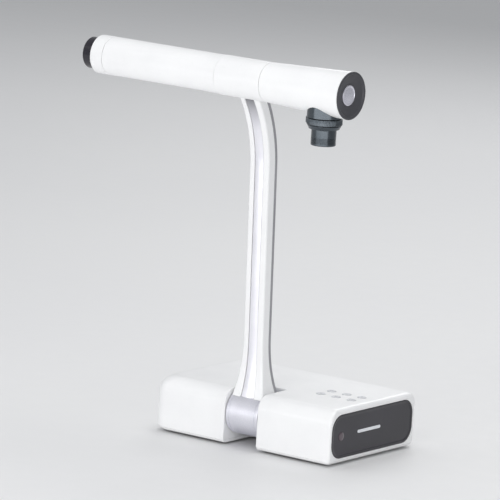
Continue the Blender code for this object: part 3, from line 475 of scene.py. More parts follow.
def loft(rings, bm=None):
    """Solid through rings of equally many points, closed at both ends, in a new mesh or the one given."""
    bm = bm or bmesh.new()
    rows = [[bm.verts.new(point) for point in ring] for ring in rings]
    count = len(rows[0])
    for low, high in zip(rows, rows[1:]):
        for i in range(count):
            j = (i + 1) % count
            bm.faces.new((low[i], low[j], high[j], high[i]))
    bm.faces.new(rows[0][::-1])
    bm.faces.new(rows[-1])
    return bm


def about(axis, a, b, height):
    """The point at a height along the axis and at (a, b) across it."""
    return Vector({"X": (height, a, b), "Y": (b, height, a), "Z": (a, b, height)}[axis])


def revolve(profile, centre, axis="Z", segments=96, swell=None, bm=None):
    """Solid of revolution from a closed (radius, height) outline, or from one that depends on the angle."""
    bm = bm or bmesh.new()
    columns, poles = [], {}
    for k in range(segments):
        angle = 2 * pi * k / segments
        column = []
        outline = profile(angle) if callable(profile) else profile
        for i, (radius, height) in enumerate(outline):
            if radius < 1e-7 and i in poles:
                column.append(poles[i])
                continue
            reach = radius + (swell(angle, radius, height) if swell else 0)
            spot = Vector(centre) + about(axis, reach * cos(angle), reach * sin(angle), height)
            column.append(bm.verts.new(spot))
            if radius < 1e-7:
                poles[i] = column[-1]
        columns.append(column)
    count = len(columns[0])
    for k in range(segments):
        here, there = columns[k], columns[(k + 1) % segments]
        for i in range(count):
            j = (i + 1) % count
            corners = list(dict.fromkeys([here[i], here[j], there[j], there[i]]))
            if len(corners) > 2:
                bm.faces.new(corners)
    return bm


def rod(radius, low, high, centre, axis="Z", segments=48, bm=None):
    return revolve([(0, low), (radius, low), (radius, high), (0, high)], centre, axis, segments, bm=bm)


def edge_levels(low, high, edge):
    """Heights of a prism's rings, each with how far the rounded edge at the high end has come in."""
    if not edge:
        return [(low, 0.0), (high, 0.0)]
    turns = [k * pi / 8 for k in range(1, 5)]
    rounded = [(high - edge * (1 - sin(turn)), edge * (1 - cos(turn))) for turn in turns]
    return [(low, 0.0), (high - edge, 0.0)] + rounded


def middle_and_half(values):
    middle = (min(values) + max(values)) / 2
    return middle, max(values) - middle


def slab(outline, axis, low, high, centre=(0, 0, 0), edge=0.0, bm=None):
    """Prism from a flat (a, b) outline along an axis, with a small rounded edge at its high end."""
    middle_a, half_a = middle_and_half([a for a, _ in outline])
    middle_b, half_b = middle_and_half([b for _, b in outline])
    rings = []
    for height, shrink in edge_levels(low, high, edge):
        ring = []
        for a, b in outline:
            a = middle_a + (a - middle_a) * (1 - shrink / half_a)
            b = middle_b + (b - middle_b) * (1 - shrink / half_b)
            ring.append(Vector(centre) + about(axis, a, b, height))
        rings.append(ring)
    return loft(rings, bm)


def link(name, bm):
    bmesh.ops.recalc_face_normals(bm, faces=bm.faces)
    mesh = bpy.data.meshes.new(name)
    bm.to_mesh(mesh)
    bm.free()
    made = bpy.data.objects.new(name, mesh)
    bpy.context.scene.collection.objects.link(made)
    return made


def turned(name, profile, centre, axis="X", segments=160, steps=6):
    """A piece turned about an axis, from a closed (radius, height, rounding) profile."""
    return link(name, revolve(fillet(profile, steps), centre, axis, segments))


def settle(piece):
    """Applies the modifiers to the mesh."""
    depsgraph = bpy.context.evaluated_depsgraph_get()
    mesh = bpy.data.meshes.new_from_object(piece.evaluated_get(depsgraph))
    mesh.name = piece.name
    piece.modifiers.clear()
    piece.data = mesh


def cut(piece, *tools):
    """Cuts each tool's shape out of the piece and removes the tool."""
    for number, tool in enumerate(tools):
        cutter = link(f"tool_{number}", tool)
        modifier = piece.modifiers.new("cut", "BOOLEAN")
        modifier.operation = "DIFFERENCE"
        modifier.solver = "EXACT"
        modifier.object = cutter
        settle(piece)
        bpy.data.objects.remove(cutter)


def soften(piece, width, segments, angle):
    """Small bevels on the edges sharper than the angle."""
    modifier = piece.modifiers.new("edges", "BEVEL")
    modifier.width = width
    modifier.segments = segments
    modifier.limit_method = "ANGLE"
    modifier.angle_limit = radians(angle)
    settle(piece)


def dress(piece, body, finish, replaces=(), sharp=32):
    """Gives the piece its material, smooth shading and body, and hides the CAD nodes it stands for."""
    mesh, slot = piece.data, SLOTS[finish]
    mesh.materials.clear()
    mesh.materials.append(FINISHES[finish])
    mesh.shade_smooth()
    mesh.set_sharp_from_angle(angle=radians(sharp))
    weighted = piece.modifiers.new("normals", "WEIGHTED_NORMAL")
    weighted.keep_sharp = True
    weighted.weight = 80
    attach(piece, body)
    if replaces:
        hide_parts(*replaces)


def box_middle(name):
    low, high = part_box(name)
    return (low + high) / 2, (high - low) / 2


def upright(name):
    """The ends, the place in plan and the radius of a round upright node."""
    low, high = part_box(name)
    middle = (low + high) / 2
    return low.z, high.z, (middle.x, middle.y, 0), (high.x - low.x) / 2


# ---- base
LIP_ROUND, INNER_ROUND_LEAST = 0.0012, 0.002
SEAM_Z, SEAM_HALF, SEAM_DEPTH, SEAM_EDGE = 0.0062, 0.0003, 0.0004, 0.0001
NOTCH_CORNER_ROUND, NOTCH_CORNER_LEAST = 0.0016, 0.0004
SIDE_HEIGHTS = (0.020, 0.034)
BUTTONS = (
    "power_button", "lamp_button", "freeze_button",
    "zoom_in_button", "zoom_out_button", "rotate_button",
)
SOCKETS = ("video_socket", "usb_socket")
SOCKET_HOLE_ROUND = 0.0012
VENTS, VENT_PITCH, VENT_FROM_LEFT, VENT_Z = 9, 0.0065, 0.040, 0.034
VENT_HALF_HEIGHT, VENT_HALF_WIDTH, VENT_ROUND, VENT_DEPTH = 0.0085, 0.0010, 0.00099, 0.006
PIN_HOLE_HALF = 0.030


def rounding(height, radius):
    """How far a rounded edge of this radius has come in, at a height into the rounding."""
    height = min(max(height, 0.0), radius)
    return radius - sqrt(radius * radius - height * height)


def casing_ring(z, inset=0.0, end_inset=0.0, groove=0.0):
    """The casing's plan outline at a height, with the notch for the hub in its front side."""
    below = rounding(FOOT_Z + BOTTOM_ROUND - z, BOTTOM_ROUND)
    top = BASE_TOP - inset

    def side(radius):
        return rounding(z - (top - radius), radius) + below + inset + groove

    lip = rounding(z - (top - LIP_ROUND), LIP_ROUND) + inset + groove
    low_x, high_x = LEFT_X + side(TOP_LEFT_ROUND), RIGHT_X - side(TOP_RIGHT_ROUND) - end_inset + inset
    low_y, high_y = FRONT_Y + side(TOP_FRONT_ROUND), BACK_Y - side(TOP_BACK_ROUND)
    corners = [max(radius - inset, INNER_ROUND_LEAST) for radius in CORNER_ROUNDS]
    inner = NOTCH_ROUND + inset
    outer = max(NOTCH_CORNER_ROUND - inset, NOTCH_CORNER_LEAST)
    left, right, deep = ARM_X - NOTCH_HALF - lip, ARM_X + NOTCH_HALF + lip, FRONT_Y + NOTCH_DEPTH + lip
    outline = [(low_x, low_y, corners[0]), (left, low_y, outer), (left, deep, inner), (right, deep, inner)]
    outline += [(right, low_y, outer), (high_x, low_y, corners[1]), (high_x, high_y, corners[2])]
    outline += [(low_x, high_y, corners[3])]
    return [Vector((x, y, z)) for x, y in fillet(outline, 10)]


def casing_heights(top):
    """Heights of the casing's rings, each with the depth of the parting groove there."""
    heights = [FOOT_Z + BOTTOM_ROUND * (1 - cos(radians(11.25 * k))) for k in range(9)]
    heights = [z for z in heights if abs(z - SEAM_Z) > SEAM_HALF + 2 * SEAM_EDGE]
    heights += SIDE_HEIGHTS
    heights += [top - TOP_FRONT_ROUND * (1 - sin(radians(4.5 * k))) for k in range(21)]
    heights += [SEAM_Z - SEAM_HALF - SEAM_EDGE, SEAM_Z + SEAM_HALF + SEAM_EDGE]
    seam = [(SEAM_Z - SEAM_HALF, SEAM_DEPTH), (SEAM_Z + SEAM_HALF, SEAM_DEPTH)]
    return sorted([(z, 0.0) for z in heights] + seam)


def casing_holes():
    """The holes for the buttons, the sockets, the power inlet and the vents."""
    holes = bmesh.new()
    for name in BUTTONS:
        middle, _ = box_middle(name)
        spot = (middle.x, middle.y, 0)
        rod(BUTTON_RADIUS + GAP, BASE_TOP - CLEAR, BASE_TOP + CLEAR, spot, bm=holes)
    for name in SOCKETS:
        middle, half = box_middle(name)
        outline = rectangle(half.z + GAP, half.x + GAP, SOCKET_HOLE_ROUND)
        slab(outline, "Y", BACK_Y - CLEAR, BACK_Y + CLEAR, (middle.x, 0, middle.z), bm=holes)
    middle, half = box_middle("power_inlet")
    rod(half.x + GAP, BACK_Y - CLEAR, BACK_Y + CLEAR, (middle.x, 0, middle.z), "Y", bm=holes)
    outline = rectangle(VENT_HALF_HEIGHT, VENT_HALF_WIDTH, VENT_ROUND)
    for k in range(VENTS):
        spot = (LEFT_X + VENT_FROM_LEFT + VENT_PITCH * k, 0, VENT_Z)
        slab(outline, "Y", BACK_Y - VENT_DEPTH, BACK_Y + CLEAR, spot, bm=holes)
    return holes


def make_casing():
    outer = [casing_ring(z, groove=groove) for z, groove in casing_heights(BASE_TOP)]
    inner = [casing_ring(z, WALL, END_WALL) for z, _ in casing_heights(BASE_TOP - WALL)]
    casing = link("casing", loft(inner[::-1] + outer))
    panel = slab(panel_outline(-GAP), "X", RIGHT_X - PANEL_THICKNESS, RIGHT_X + CLEAR)
    pin = rod(PIN_RADIUS + GAP, -PIN_HOLE_HALF, PIN_HOLE_HALF, HUB, "X")
    cut(casing, panel, casing_holes(), pin)
    soften(casing, 0.00025, 2, 55)
    dress(casing, "base", "white", ["base_shell"], 40)


# ---- end panel
PANEL_EDGE = 0.0005
# Depth and inset of the rings that dish the panel's face
PANEL_DISH = ((0.00002, 0.0022), (0.00045, 0.0034), (0.00050, 0.0044))
POCKET_DEPTH, POCKET_GAP = 0.0011, 0.0002
INSERT_DEPTH, BAR_PROUD, BAR_EDGE = 0.0008, 0.0001, 0.0003


def panel_outline(shrink, steps=14):
    half_y = (BACK_Y - PANEL_BACK - FRONT_Y - PANEL_FRONT) / 2 - shrink
    half_z = (PANEL_HIGH_Z - PANEL_LOW_Z) / 2 - shrink
    middle = ((BACK_Y - PANEL_BACK + FRONT_Y + PANEL_FRONT) / 2, (PANEL_HIGH_Z + PANEL_LOW_Z) / 2)
    return rectangle(half_y, half_z, PANEL_ROUND - shrink, middle, steps)


def make_panel():
    rim = edge_levels(RIGHT_X - PANEL_THICKNESS + GAP, RIGHT_X, PANEL_EDGE)
    levels = [(x, GAP / 2 + shrink) for x, shrink in rim]
    levels += [(RIGHT_X - depth, shrink) for depth, shrink in PANEL_DISH]
    rings = [[Vector((x, y, z)) for y, z in panel_outline(shrink)] for x, shrink in levels]
    panel = link("end_face", loft(rings))
    bar_at, bar = box_middle("status_light")
    eye_at, eye = box_middle("ir_window")
    low, high = RIGHT_X - POCKET_DEPTH, RIGHT_X + CLEAR
    outline = rectangle(bar.y + POCKET_GAP, bar.z + POCKET_GAP, bar.z)
    pocket = slab(outline, "X", low, high, (0, bar_at.y, bar_at.z))
    hole = rod(eye.y + POCKET_GAP, low, high, (0, eye_at.y, eye_at.z), "X", 64)
    cut(panel, pocket, hole)
    dress(panel, "base", "gloss", ["end_panel"], 30)

    outline = rectangle(bar.y, bar.z, bar.z - 0.0001, steps=10)
    low, high = RIGHT_X - INSERT_DEPTH, RIGHT_X + BAR_PROUD
    light = link("light_bar", slab(outline, "X", low, high, (0, bar_at.y, bar_at.z), BAR_EDGE))
    dress(light, "base", "light", ["status_light"], 30)

    profile = [(0, -INSERT_DEPTH, 0), (eye.y, -INSERT_DEPTH, 0), (eye.y, -0.0002, 0.0002)]
    profile += [(0.0030, 0.00015, 0.003), (0, 0.0002, 0)]
    window = turned("sensor_window", profile, (RIGHT_X, eye_at.y, eye_at.z), segments=64)
    dress(window, "base", "window", ["ir_window"], 30)


# ---- buttons
STEM_RADIUS, FLANGE_RADIUS, FLANGE_THICKNESS = 0.0020, 0.0064, 0.0012
SIGN_WIDTH, SIGN_HEIGHT, SIGN_SUNK = 0.00042, 0.00012, 0.00038


def ribbon(bm, points, z):
    """A flat raised line of even width through (x, y) points."""
    flat = [Vector(point) for point in points]
    rings = []
    for i, here in enumerate(flat):
        run = (flat[min(i + 1, len(flat) - 1)] - flat[max(i - 1, 0)]).normalized()
        side = Vector((-run.y, run.x)) * SIGN_WIDTH / 2
        one, other, top = here + side, here - side, z + SIGN_HEIGHT
        rings.append([(*one, z), (*other, z), (*other, top), (*one, top)])
    loft(rings, bm)


def arc(radius, first, last, steps=20):
    turns = [radians(first + (last - first) * k / steps) for k in range(steps + 1)]
    return [(radius * cos(turn), radius * sin(turn)) for turn in turns]


def button_marks():
    """Generic signs, as lists of open lines about the button's middle."""
    long, tall, short = 0.0020, 0.0017, 0.0003
    bar = [(-long, 0), (long, 0)]
    arrow = [(-0.0024, 0.0002), (-0.0013, -0.0010), (-0.0002, 0.0001)]
    rays = [[(r * cos(k * pi / 4), r * sin(k * pi / 4)) for r in (0.0017, 0.0025)] for k in range(8)]
    return {
        "power_button": [arc(0.0019, 125, 415), [(0, 0.0006), (0, 0.0026)]],
        "lamp_button": [arc(0.0011, 0, 352)] + rays,
        "freeze_button": [[(x, -tall), (x, tall)] for x in (-0.0009, 0.0009)],
        "zoom_in_button": [bar, [(0, -long), (0, -short)], [(0, short), (0, long)]],
        "zoom_out_button": [bar],
        "rotate_button": [arc(0.00195, -50, 230), arrow],
    }


def make_buttons():
    marks = button_marks()
    under = BASE_TOP - WALL - GAP
    flange = under - FLANGE_THICKNESS
    for name in BUTTONS:
        low, high, spot, _ = upright(name)
        profile = [(0, low, 0), (STEM_RADIUS, low, 0), (STEM_RADIUS, flange, 0)]
        profile += [(FLANGE_RADIUS, flange, 0), (FLANGE_RADIUS, under, 0), (BUTTON_RADIUS, under, 0)]
        profile += [(BUTTON_RADIUS, high - 0.0001, 0.0006), (0.0040, high, 0.004)]
        profile += [(0.0034, high - 0.0002, 0.001), (0, high - 0.00035, 0)]
        cap = turned(name.replace("_button", "_key"), profile, spot, "Z", 64)
        dress(cap, name, "button", [name], 35)
        bm = bmesh.new()
        for line in marks[name]:
            ribbon(bm, [(spot[0] + x, spot[1] + y) for x, y in line], high - SIGN_SUNK)
        dress(link(name.replace("_button", "_sign"), bm), name, "mark", sharp=38)


# ---- feet, screws and sockets
def make_feet():
    for number in range(1, 5):
        node_name = f"rubber_foot_{number}"
        _, high, spot, radius = upright(node_name)
        profile = [(0, 0.0003, 0), (0.0040, 0.0003, 0.0002), (0.0044, 0, 0.0002)]
        profile += [(radius - 0.0003, 0, 0.0008), (radius, high, 0), (0, high, 0)]
        foot = turned(f"foot_{number}", profile, spot, "Z", 64)
        dress(foot, "base", "rubber", [node_name], 35)


SHANK_RADIUS, HEAD_THICKNESS = 0.0014, 0.0012
# Half sizes of the two crossed slots in a screw's head
CROSS = ((0.0017, 0.00032), (0.00032, 0.0017))


def make_screws():
    for number in range(1, 5):
        node_name = f"base_screw_{number}"
        low, high, spot, radius = upright(node_name)
        profile = [(0, low, 0), (radius, low + 0.0003, 0.0003), (radius, low + HEAD_THICKNESS, 0.0001)]
        profile += [(SHANK_RADIUS, low + 0.0013, 0), (SHANK_RADIUS, high - 0.001, 0), (0, high, 0)]
        screw = turned(f"screw_{number}", profile, spot, "Z", 48, 4)
        for a, b in CROSS:
            cut(screw, slab(rectangle(a, b, 0.0001), "Z", low - 0.001, low + 0.0009, spot))
        dress(screw, "base", "steel", [node_name], 30)


# Each socket's tongue (how far above the middle, how far in from the side) and contacts (number, half width)
SOCKET_INSIDES = {"video_socket": (0.0, 0.0028, 9, 0.0002), "usb_socket": (0.0009, 0.0016, 4, 0.0005)}
SOCKET_SKIN, TONGUE_HALF, CONTACT_HALF, CONTACT_DROP = 0.0007, 0.0008, 0.00008, 0.00084


def make_sockets():
    for name, (lift, side, pins, pin_half) in SOCKET_INSIDES.items():
        low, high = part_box(name)
        middle, half = (low + high) / 2, (high - low) / 2
        at = (middle.x, 0, middle.z)
        shell = link(f"{name}_shell", slab(rectangle(half.z, half.x, 0.0009), "Y", low.y, high.y, at))
        mouth = rectangle(half.z - SOCKET_SKIN, half.x - SOCKET_SKIN, 0.0005)
        cut(shell, slab(mouth, "Y", low.y + 0.0015, high.y + CLEAR, at))
        soften(shell, 0.00012, 1, 60)
        dress(shell, "base", "steel", [name], 35)
        reach = half.x - side
        at = (middle.x, 0, middle.z + lift)
        tongue = slab(rectangle(TONGUE_HALF, reach, 0.0003), "Y", low.y + 0.0010, high.y - 0.0014, at)
        dress(link(f"{name}_tongue", tongue), "base", "dark", sharp=35)
        bm = bmesh.new()
        outline = rectangle(CONTACT_HALF, pin_half, 0.00004, steps=1)
        for k in range(pins):
            x = middle.x + (k / (pins - 1) - 0.5) * 2 * (reach - 0.0012)
            at = (x, 0, middle.z + lift - CONTACT_DROP)
            slab(outline, "Y", low.y + 0.0017, high.y - 0.0018, at, bm=bm)
        dress(link(f"{name}_contacts", bm), "base", "contact", sharp=35)


def make_inlet():
    low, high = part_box("power_inlet")
    middle, radius = (low + high) / 2, (high.x - low.x) / 2
    bore, pin, floor = 0.0034, 0.0010, low.y + 0.0020
    profile = [(0, low.y, 0), (radius, low.y, 0.0003), (radius, high.y, 0.0004), (bore, high.y, 0.0003)]
    profile += [(bore, floor, 0), (pin, floor, 0), (pin, high.y - 0.0010, 0.0003), (0, high.y - 0.0008, 0)]
    inlet = turned("power_jack", profile, (middle.x, 0, middle.z), "Y", 64)
    dress(inlet, "base", "dark", ["power_inlet"], 35)


# ---- arm
ARM_LENGTH = ARM_STRAIGHT + ARM_BEND * ARM_BEND_RADIUS + ARM_TO_TUBE_AXIS
# The stretch at either end of the arm in which its edge is looked for, and the length that blends into it
END_SEARCH, END_SHAPING = 0.06, 0.0015


def arm_place(distance):
    """Point (y, z) and lean angle on the arm's centre line, in the frame."""
    straight = Vector((-sin(ARM_LEAN), cos(ARM_LEAN)))
    hub = Vector((HUB.y, HUB.z))
    if distance <= ARM_STRAIGHT:
        return hub + straight * distance, ARM_LEAN
    turned_by = min((distance - ARM_STRAIGHT) / ARM_BEND_RADIUS, ARM_BEND)
    angle = ARM_LEAN + turned_by
    step = Vector((cos(angle) - cos(ARM_LEAN), sin(angle) - sin(ARM_LEAN))) * ARM_BEND_RADIUS
    past = distance - ARM_STRAIGHT - turned_by * ARM_BEND_RADIUS
    return hub + straight * ARM_STRAIGHT + step + Vector((-sin(angle), cos(angle))) * past, angle


def arm_size(distance):
    """Half width and half depth of the arm, which flares out towards the hub."""
    flare = min(max((FLARE_END - distance) / (FLARE_END - FLARE_START), 0), 1)
    half_width = ARM_HALF_WIDTH + (FOOT_HALF_WIDTH - ARM_HALF_WIDTH) * flare**2.0
    half_depth = ARM_HALF_DEPTH + (FOOT_HALF_DEPTH - ARM_HALF_DEPTH) * flare**2.6
    return half_width, half_depth


def arm_point(distance, section, i):
    across, ahead = section(*arm_size(distance))[i]
    spot, angle = arm_place(distance)
    return Vector((ARM_X + across, spot.x - ahead * cos(angle), spot.y - ahead * sin(angle)))


def reach_to(axis_at, radius, section, i, near, far):
    """The distance at which one line of the arm leaves a round part: near is inside it, far outside."""
    for _ in range(40):
        middle = (near + far) / 2
        spot = arm_point(middle, section, i)
        if Vector((spot.y - axis_at.y, spot.z - axis_at.z)).length < radius:
            near = middle
        else:
            far = middle
    return far


def swept(section):
    """The section carried along the arm, with its ends shaped to the hub and the tube."""
    lines = range(len(section(*arm_size(FLARE_END))))
    hub, tube = HUB_RADIUS + GAP, HEAD_START_RADIUS + GAP
    lows = [reach_to(HUB, hub, section, i, 0.0, END_SEARCH) for i in lines]
    highs = [reach_to(TUBE, tube, section, i, ARM_LENGTH, ARM_LENGTH - END_SEARCH) for i in lines]
    first, last = max(lows) + END_SHAPING, min(highs) - END_SHAPING
    stations = [first + (FLARE_END - first) * k / 22 for k in range(22)]
    stations += [FLARE_END + (ARM_STRAIGHT - FLARE_END) * k / 12 for k in range(12)]
    stations += [ARM_STRAIGHT + (last - ARM_STRAIGHT) * k / 30 for k in range(31)]
    rings = [[arm_point(lows[i], section, i) for i in lines]]
    rings += [[arm_point(distance, section, i) for i in lines] for distance in stations]
    rings.append([arm_point(highs[i], section, i) for i in lines])
    return loft(rings)


def strip_half_width(half_width):
    return STRIP_HALF_WIDTH + STRIP_FLARE * (half_width - ARM_HALF_WIDTH)


def front_cover_section(half_width, half_depth):
    """Strip with a slightly crowned face and rounded edges, set a little below the casing."""
    wide = strip_half_width(half_width) - 2 * GAP
    low, high = half_depth - COVER_THICKNESS, half_depth - 0.0001
    crown, edge = 0.0006, 0.0006
    shares = [k / 6 - 1 for k in range(13)]
    face = [((wide - edge) * share, high - crown * share * share) for share in shares]
    turns = (0.5, 1.0, 1.5)
    right = [(wide - edge * (1 - sin(turn)), high - crown - edge * (1 - cos(turn))) for turn in turns]
    left = [(-a, b) for a, b in reversed(right)]
    return [(wide, low), (-wide, low)] + left + face + right


def shell_section(half_width, half_depth):
    w, d = half_width, half_depth
    lip, floor = strip_half_width(w), d - COVER_THICKNESS - GAP
    inner, ceiling, rear = w - ARM_WALL, d - 0.0044, REAR_COVER_DEPTH + GAP - d
    right = [(inner, ceiling, 0), (inner, rear, 0), (w, rear, 0.0004), (w, d, 0.0026)]
    right += [(lip, d, 0.0005), (lip, floor, 0)]
    return fillet(mirrored(right), 6)


def rear_cover_section(half_width, half_depth):
    w, d = half_width, half_depth
    top, floor = REAR_COVER_DEPTH - d, 0.0022 - d
    right = [(w - ARM_WALL, top, 0), (w, top, 0.0003), (w, -d, 0.0050)]
    return fillet(mirrored(right) + [(ARM_WALL - w, floor, 0), (w - ARM_WALL, floor, 0)], 8)


def make_arm():
    for name, section, finish, stands_for in (
        ("arm_front_strip", front_cover_section, "strip", "arm_front_cover"),
        ("arm_casing", shell_section, "white", "arm_shell"),
        ("arm_back_strip", rear_cover_section, "grey", "arm_rear_cover"),
    ):
        dress(link(name, swept(section)), "arm", finish, [stands_for])


BOSS_RADIUS, BOSS_RECESS = 0.0133, 0.003
HUB_GROOVE_IN, HUB_GROOVE_DEPTH = 0.0046, 0.0003


def make_hub():
    """The hinge barrel, with a fine groove near each end and a recess around the pin."""
    bore, half, groove = PIN_RADIUS + GAP, HUB_HALF, HUB_HALF - HUB_GROOVE_IN
    deep, floor = HUB_RADIUS - HUB_GROOVE_DEPTH, half - BOSS_RECESS
    right = [(BOSS_RADIUS, floor, 0), (BOSS_RADIUS, half, 0.0003), (HUB_RADIUS, half, 0.0012)]
    right += [(HUB_RADIUS, groove + 0.0003, 0), (deep, groove + 0.0002, 0)]
    right += [(deep, groove - 0.0002, 0), (HUB_RADIUS, groove - 0.0003, 0)]
    left = [(radius, -height, edge) for radius, height, edge in reversed(right)]
    barrel = turned("hinge_barrel", [(bore, floor, 0)] + right + left + [(bore, -floor, 0)], HUB)
    dress(barrel, "arm", "silver", ["hub_barrel"], 30)


# ---- cross tube
TUBE_EDGE = 0.0006
LAMP_BORE = LAMP_RADIUS - TUBE_WALL
LAMP_START, RING_END = HOUSING_HALF + SEAM, TUBE_LEFT - END_CAP_LENGTH
LAMP_END = TUBE_LEFT - END_CAP_LENGTH - END_RING_LENGTH - SEAM / 2
COVER_RIBS, COVER_RIB_DEPTH, COVER_SUNK, COVER_HOLE_ROUND = 124, 0.00018, 0.0004, 0.0030
# How far each side of the lamp cover comes in at its first ribs, for its rounded corners
COVER_CORNER = (0.0027, 0.0013, 0.0006, 0.0002)


def make_housing():
    radius, half = HEAD_START_RADIUS, HOUSING_HALF
    profile = [(BORE_RADIUS, -half, 0), (radius, -half, TUBE_EDGE)]
    profile += [(radius, half, TUBE_EDGE), (BORE_RADIUS, half, 0)]
    housing = turned("joint_housing", profile, TUBE)
    dress(housing, "arm", "white", ["centre_housing"], 30)


def make_lamp_casing():
    near, far, wall = LAMP_START, LAMP_END, LAMP_START + END_WALL_THICKNESS
    profile = [(BORE_RADIUS, -near, 0), (LAMP_RADIUS, -near, TUBE_EDGE), (LAMP_RADIUS, -far, TUBE_EDGE)]
    profile += [(LAMP_BORE, -far, 0), (LAMP_BORE, -wall, 0), (BORE_RADIUS, -wall, 0)]
    shell = turned("lamp_casing", profile, TUBE)
    low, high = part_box("lamp_diffuser")
    middle = (low + high) / 2
    half_x, half_y = (high.x - low.x) / 2 + GAP, (high.y - low.y) / 2 + GAP
    outline = rectangle(half_x, half_y, COVER_HOLE_ROUND, (middle.x, middle.y), 8)
    cut(shell, slab(outline, "Z", TUBE.z - 0.04, TUBE.z - 0.012))
    soften(shell, 0.0003, 2, 50)
    dress(shell, "lamp_head", "white", ["lamp_shell"])


def make_lamp_cover():
    """The cover in the lamp's underside: cross ribs on an arched plate with rounded corners."""
    low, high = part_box("lamp_diffuser")
    rings = []
    for k in range(COVER_RIBS + 1):
        x = low.x + 0.0001 + (high.x - low.x - 0.0002) * k / COVER_RIBS
        end = min(k, COVER_RIBS - k)
        pull = COVER_CORNER[end] if end < len(COVER_CORNER) else 0.0
        span = asin(((high.y - low.y) / 2 - pull) / LAMP_RADIUS)
        outer = LAMP_RADIUS - COVER_SUNK - (COVER_RIB_DEPTH if k % 2 else 0.0)
        ring = []
        for radius, order in ((outer, 1), (LAMP_BORE, -1)):
            for i in range(17):
                angle = -pi / 2 + order * span * (i / 8 - 1)
                ring.append(Vector((x, TUBE.y + radius * cos(angle), TUBE.z + radius * sin(angle))))
        rings.append(ring)
    cover = link("lamp_cover", loft(rings))
    dress(cover, "lamp_head", "diffuser", ["lamp_diffuser"], 40)


def make_lamp_end():
    start, stop = LAMP_END + SEAM, RING_END
    profile = [(LAMP_BORE, -start, 0), (LAMP_RADIUS, -start, TUBE_EDGE)]
    profile += [(LAMP_RADIUS, -stop, 0.0014), (LAMP_BORE, -stop, 0)]
    ring = turned("lamp_ring", profile, TUBE)
    dress(ring, "lamp_head", "white", ["lamp_end_ring"])
    plug, rim, shoulder = LAMP_BORE - GAP, END_CAP_RADIUS, END_CAP_DOME - TUBE_LEFT
    profile = [(0, 0.006 - stop), (plug, 0.006 - stop), (plug, 0.0006 - stop), (plug - 0.0006, -stop)]
    profile += [(rim + 0.0008, -stop), (rim + 0.0002, -stop - 0.0003), (rim, -stop - 0.0009)]
    turns = [k * pi / 48 for k in range(24)]
    profile += [(rim * cos(turn) ** 0.5, shoulder - END_CAP_DOME * sin(turn)) for turn in turns]
    profile.append((0, shoulder - END_CAP_DOME))
    cap = link("lamp_cap", revolve(profile, TUBE, "X", 160))
    dress(cap, "lamp_head", "gloss", ["lamp_end_cap"])


def head_radius(x):
    """The tapered camera head's radius at a distance from the tube's pivot."""
    start = HOUSING_HALF + SEAM
    share = (x - start) / (TUBE_RIGHT - BEZEL_LENGTH - start)
    return HEAD_START_RADIUS + (HEAD_END_RADIUS - HEAD_START_RADIUS) * share


FOCUS_HOLE = 0.0118


def make_head():
    near, far = HOUSING_HALF + SEAM, TUBE_RIGHT - BEZEL_LENGTH - SEAM / 2
    wall = near + END_WALL_THICKNESS
    start, stop = head_radius(near), head_radius(far)
    profile = [(BORE_RADIUS, near, 0), (start, near, TUBE_EDGE), (stop, far, TUBE_EDGE)]
    profile += [(stop - TUBE_WALL, far, 0), (start - TUBE_WALL, wall, 0), (BORE_RADIUS, wall, 0)]
    shell = turned("head_casing", profile, TUBE)
    cut(shell, rod(LENS_BORE_RADIUS + GAP, -0.04, -0.010, LENS, segments=96))
    dress(shell, "camera_head", "white", ["head_shell"])

    low, high, hole = far + SEAM, TUBE_RIGHT, FOCUS_HOLE
    rim, spigot, floor = HEAD_END_RADIUS, stop - TUBE_WALL - GAP - 0.0002, high - BEZEL_DISH
    profile = [(hole, low - 0.006, 0), (spigot, low - 0.006, 0), (spigot, low, 0), (rim, low, 0.0002)]
    profile += [(rim, high, 0.0006), (spigot + 0.0002, high, 0.0008)]
    profile += [(spigot - 0.0016, high - 0.0016, 0.0010), (0.0138, floor + 0.0002, 0.0010)]
    profile.append((hole, floor, 0.0003))
    bezel = turned("head_bezel", profile, TUBE)
    dress(bezel, "camera_head", "dark", ["head_end_bezel"])

    press = hole - GAP
    profile = [(0, floor - 0.0045, 0), (press, floor - 0.0045, 0), (press, floor + 0.0008, 0.0005)]
    profile += [(0.0102, floor + 0.0012, 0.0004), (0.0094, floor + 0.0005, 0.0010)]
    profile += [(0.0040, floor + 0.0009, 0.01), (0, floor + 0.0010, 0)]
    button = turned("focus_key", profile, TUBE, segments=128)
    dress(button, "focus_button", "button_metal", ["focus_button"])


# ---- lens
LENS_BORE, SADDLE_LEAST_TOP = LENS_BORE_RADIUS + GAP, 0.0145
EAR_AT, EAR_HALF_ANGLE, EAR_REACH = pi, radians(24), 0.0028
RIDGES, RIDGE_DEPTH, RIDGE_EDGE = 72, 0.00028, 0.0012
BARREL_TOP, BARREL_BORE, BAFFLE_START, BAFFLE_STEP = 0.012, 0.0090, 0.0114, 0.0002
GLASS_RADIUS, GLASS_FACE_RADIUS, GLASS_BULGE = 0.0111, 0.0110, 0.0016


def head_bottom(angle, radius):
    """Height of the tapered head's underside at a place around the lens axis."""
    across = radius * sin(angle)
    head = head_radius(LENS.x - TUBE.x + radius * cos(angle)) + 0.0001
    return -sqrt(head * head - across * across)


def saddle_profile(angle):
    rim, low = COLLAR_RADIUS, -SADDLE_BOTTOM
    profile = [(LENS_BORE, low), (rim - 0.0006, low), (rim, low + 0.0006)]
    top = min(head_bottom(angle, rim), -SADDLE_LEAST_TOP)
    return profile + [(rim, top), (LENS_BORE, head_bottom(angle, LENS_BORE))]


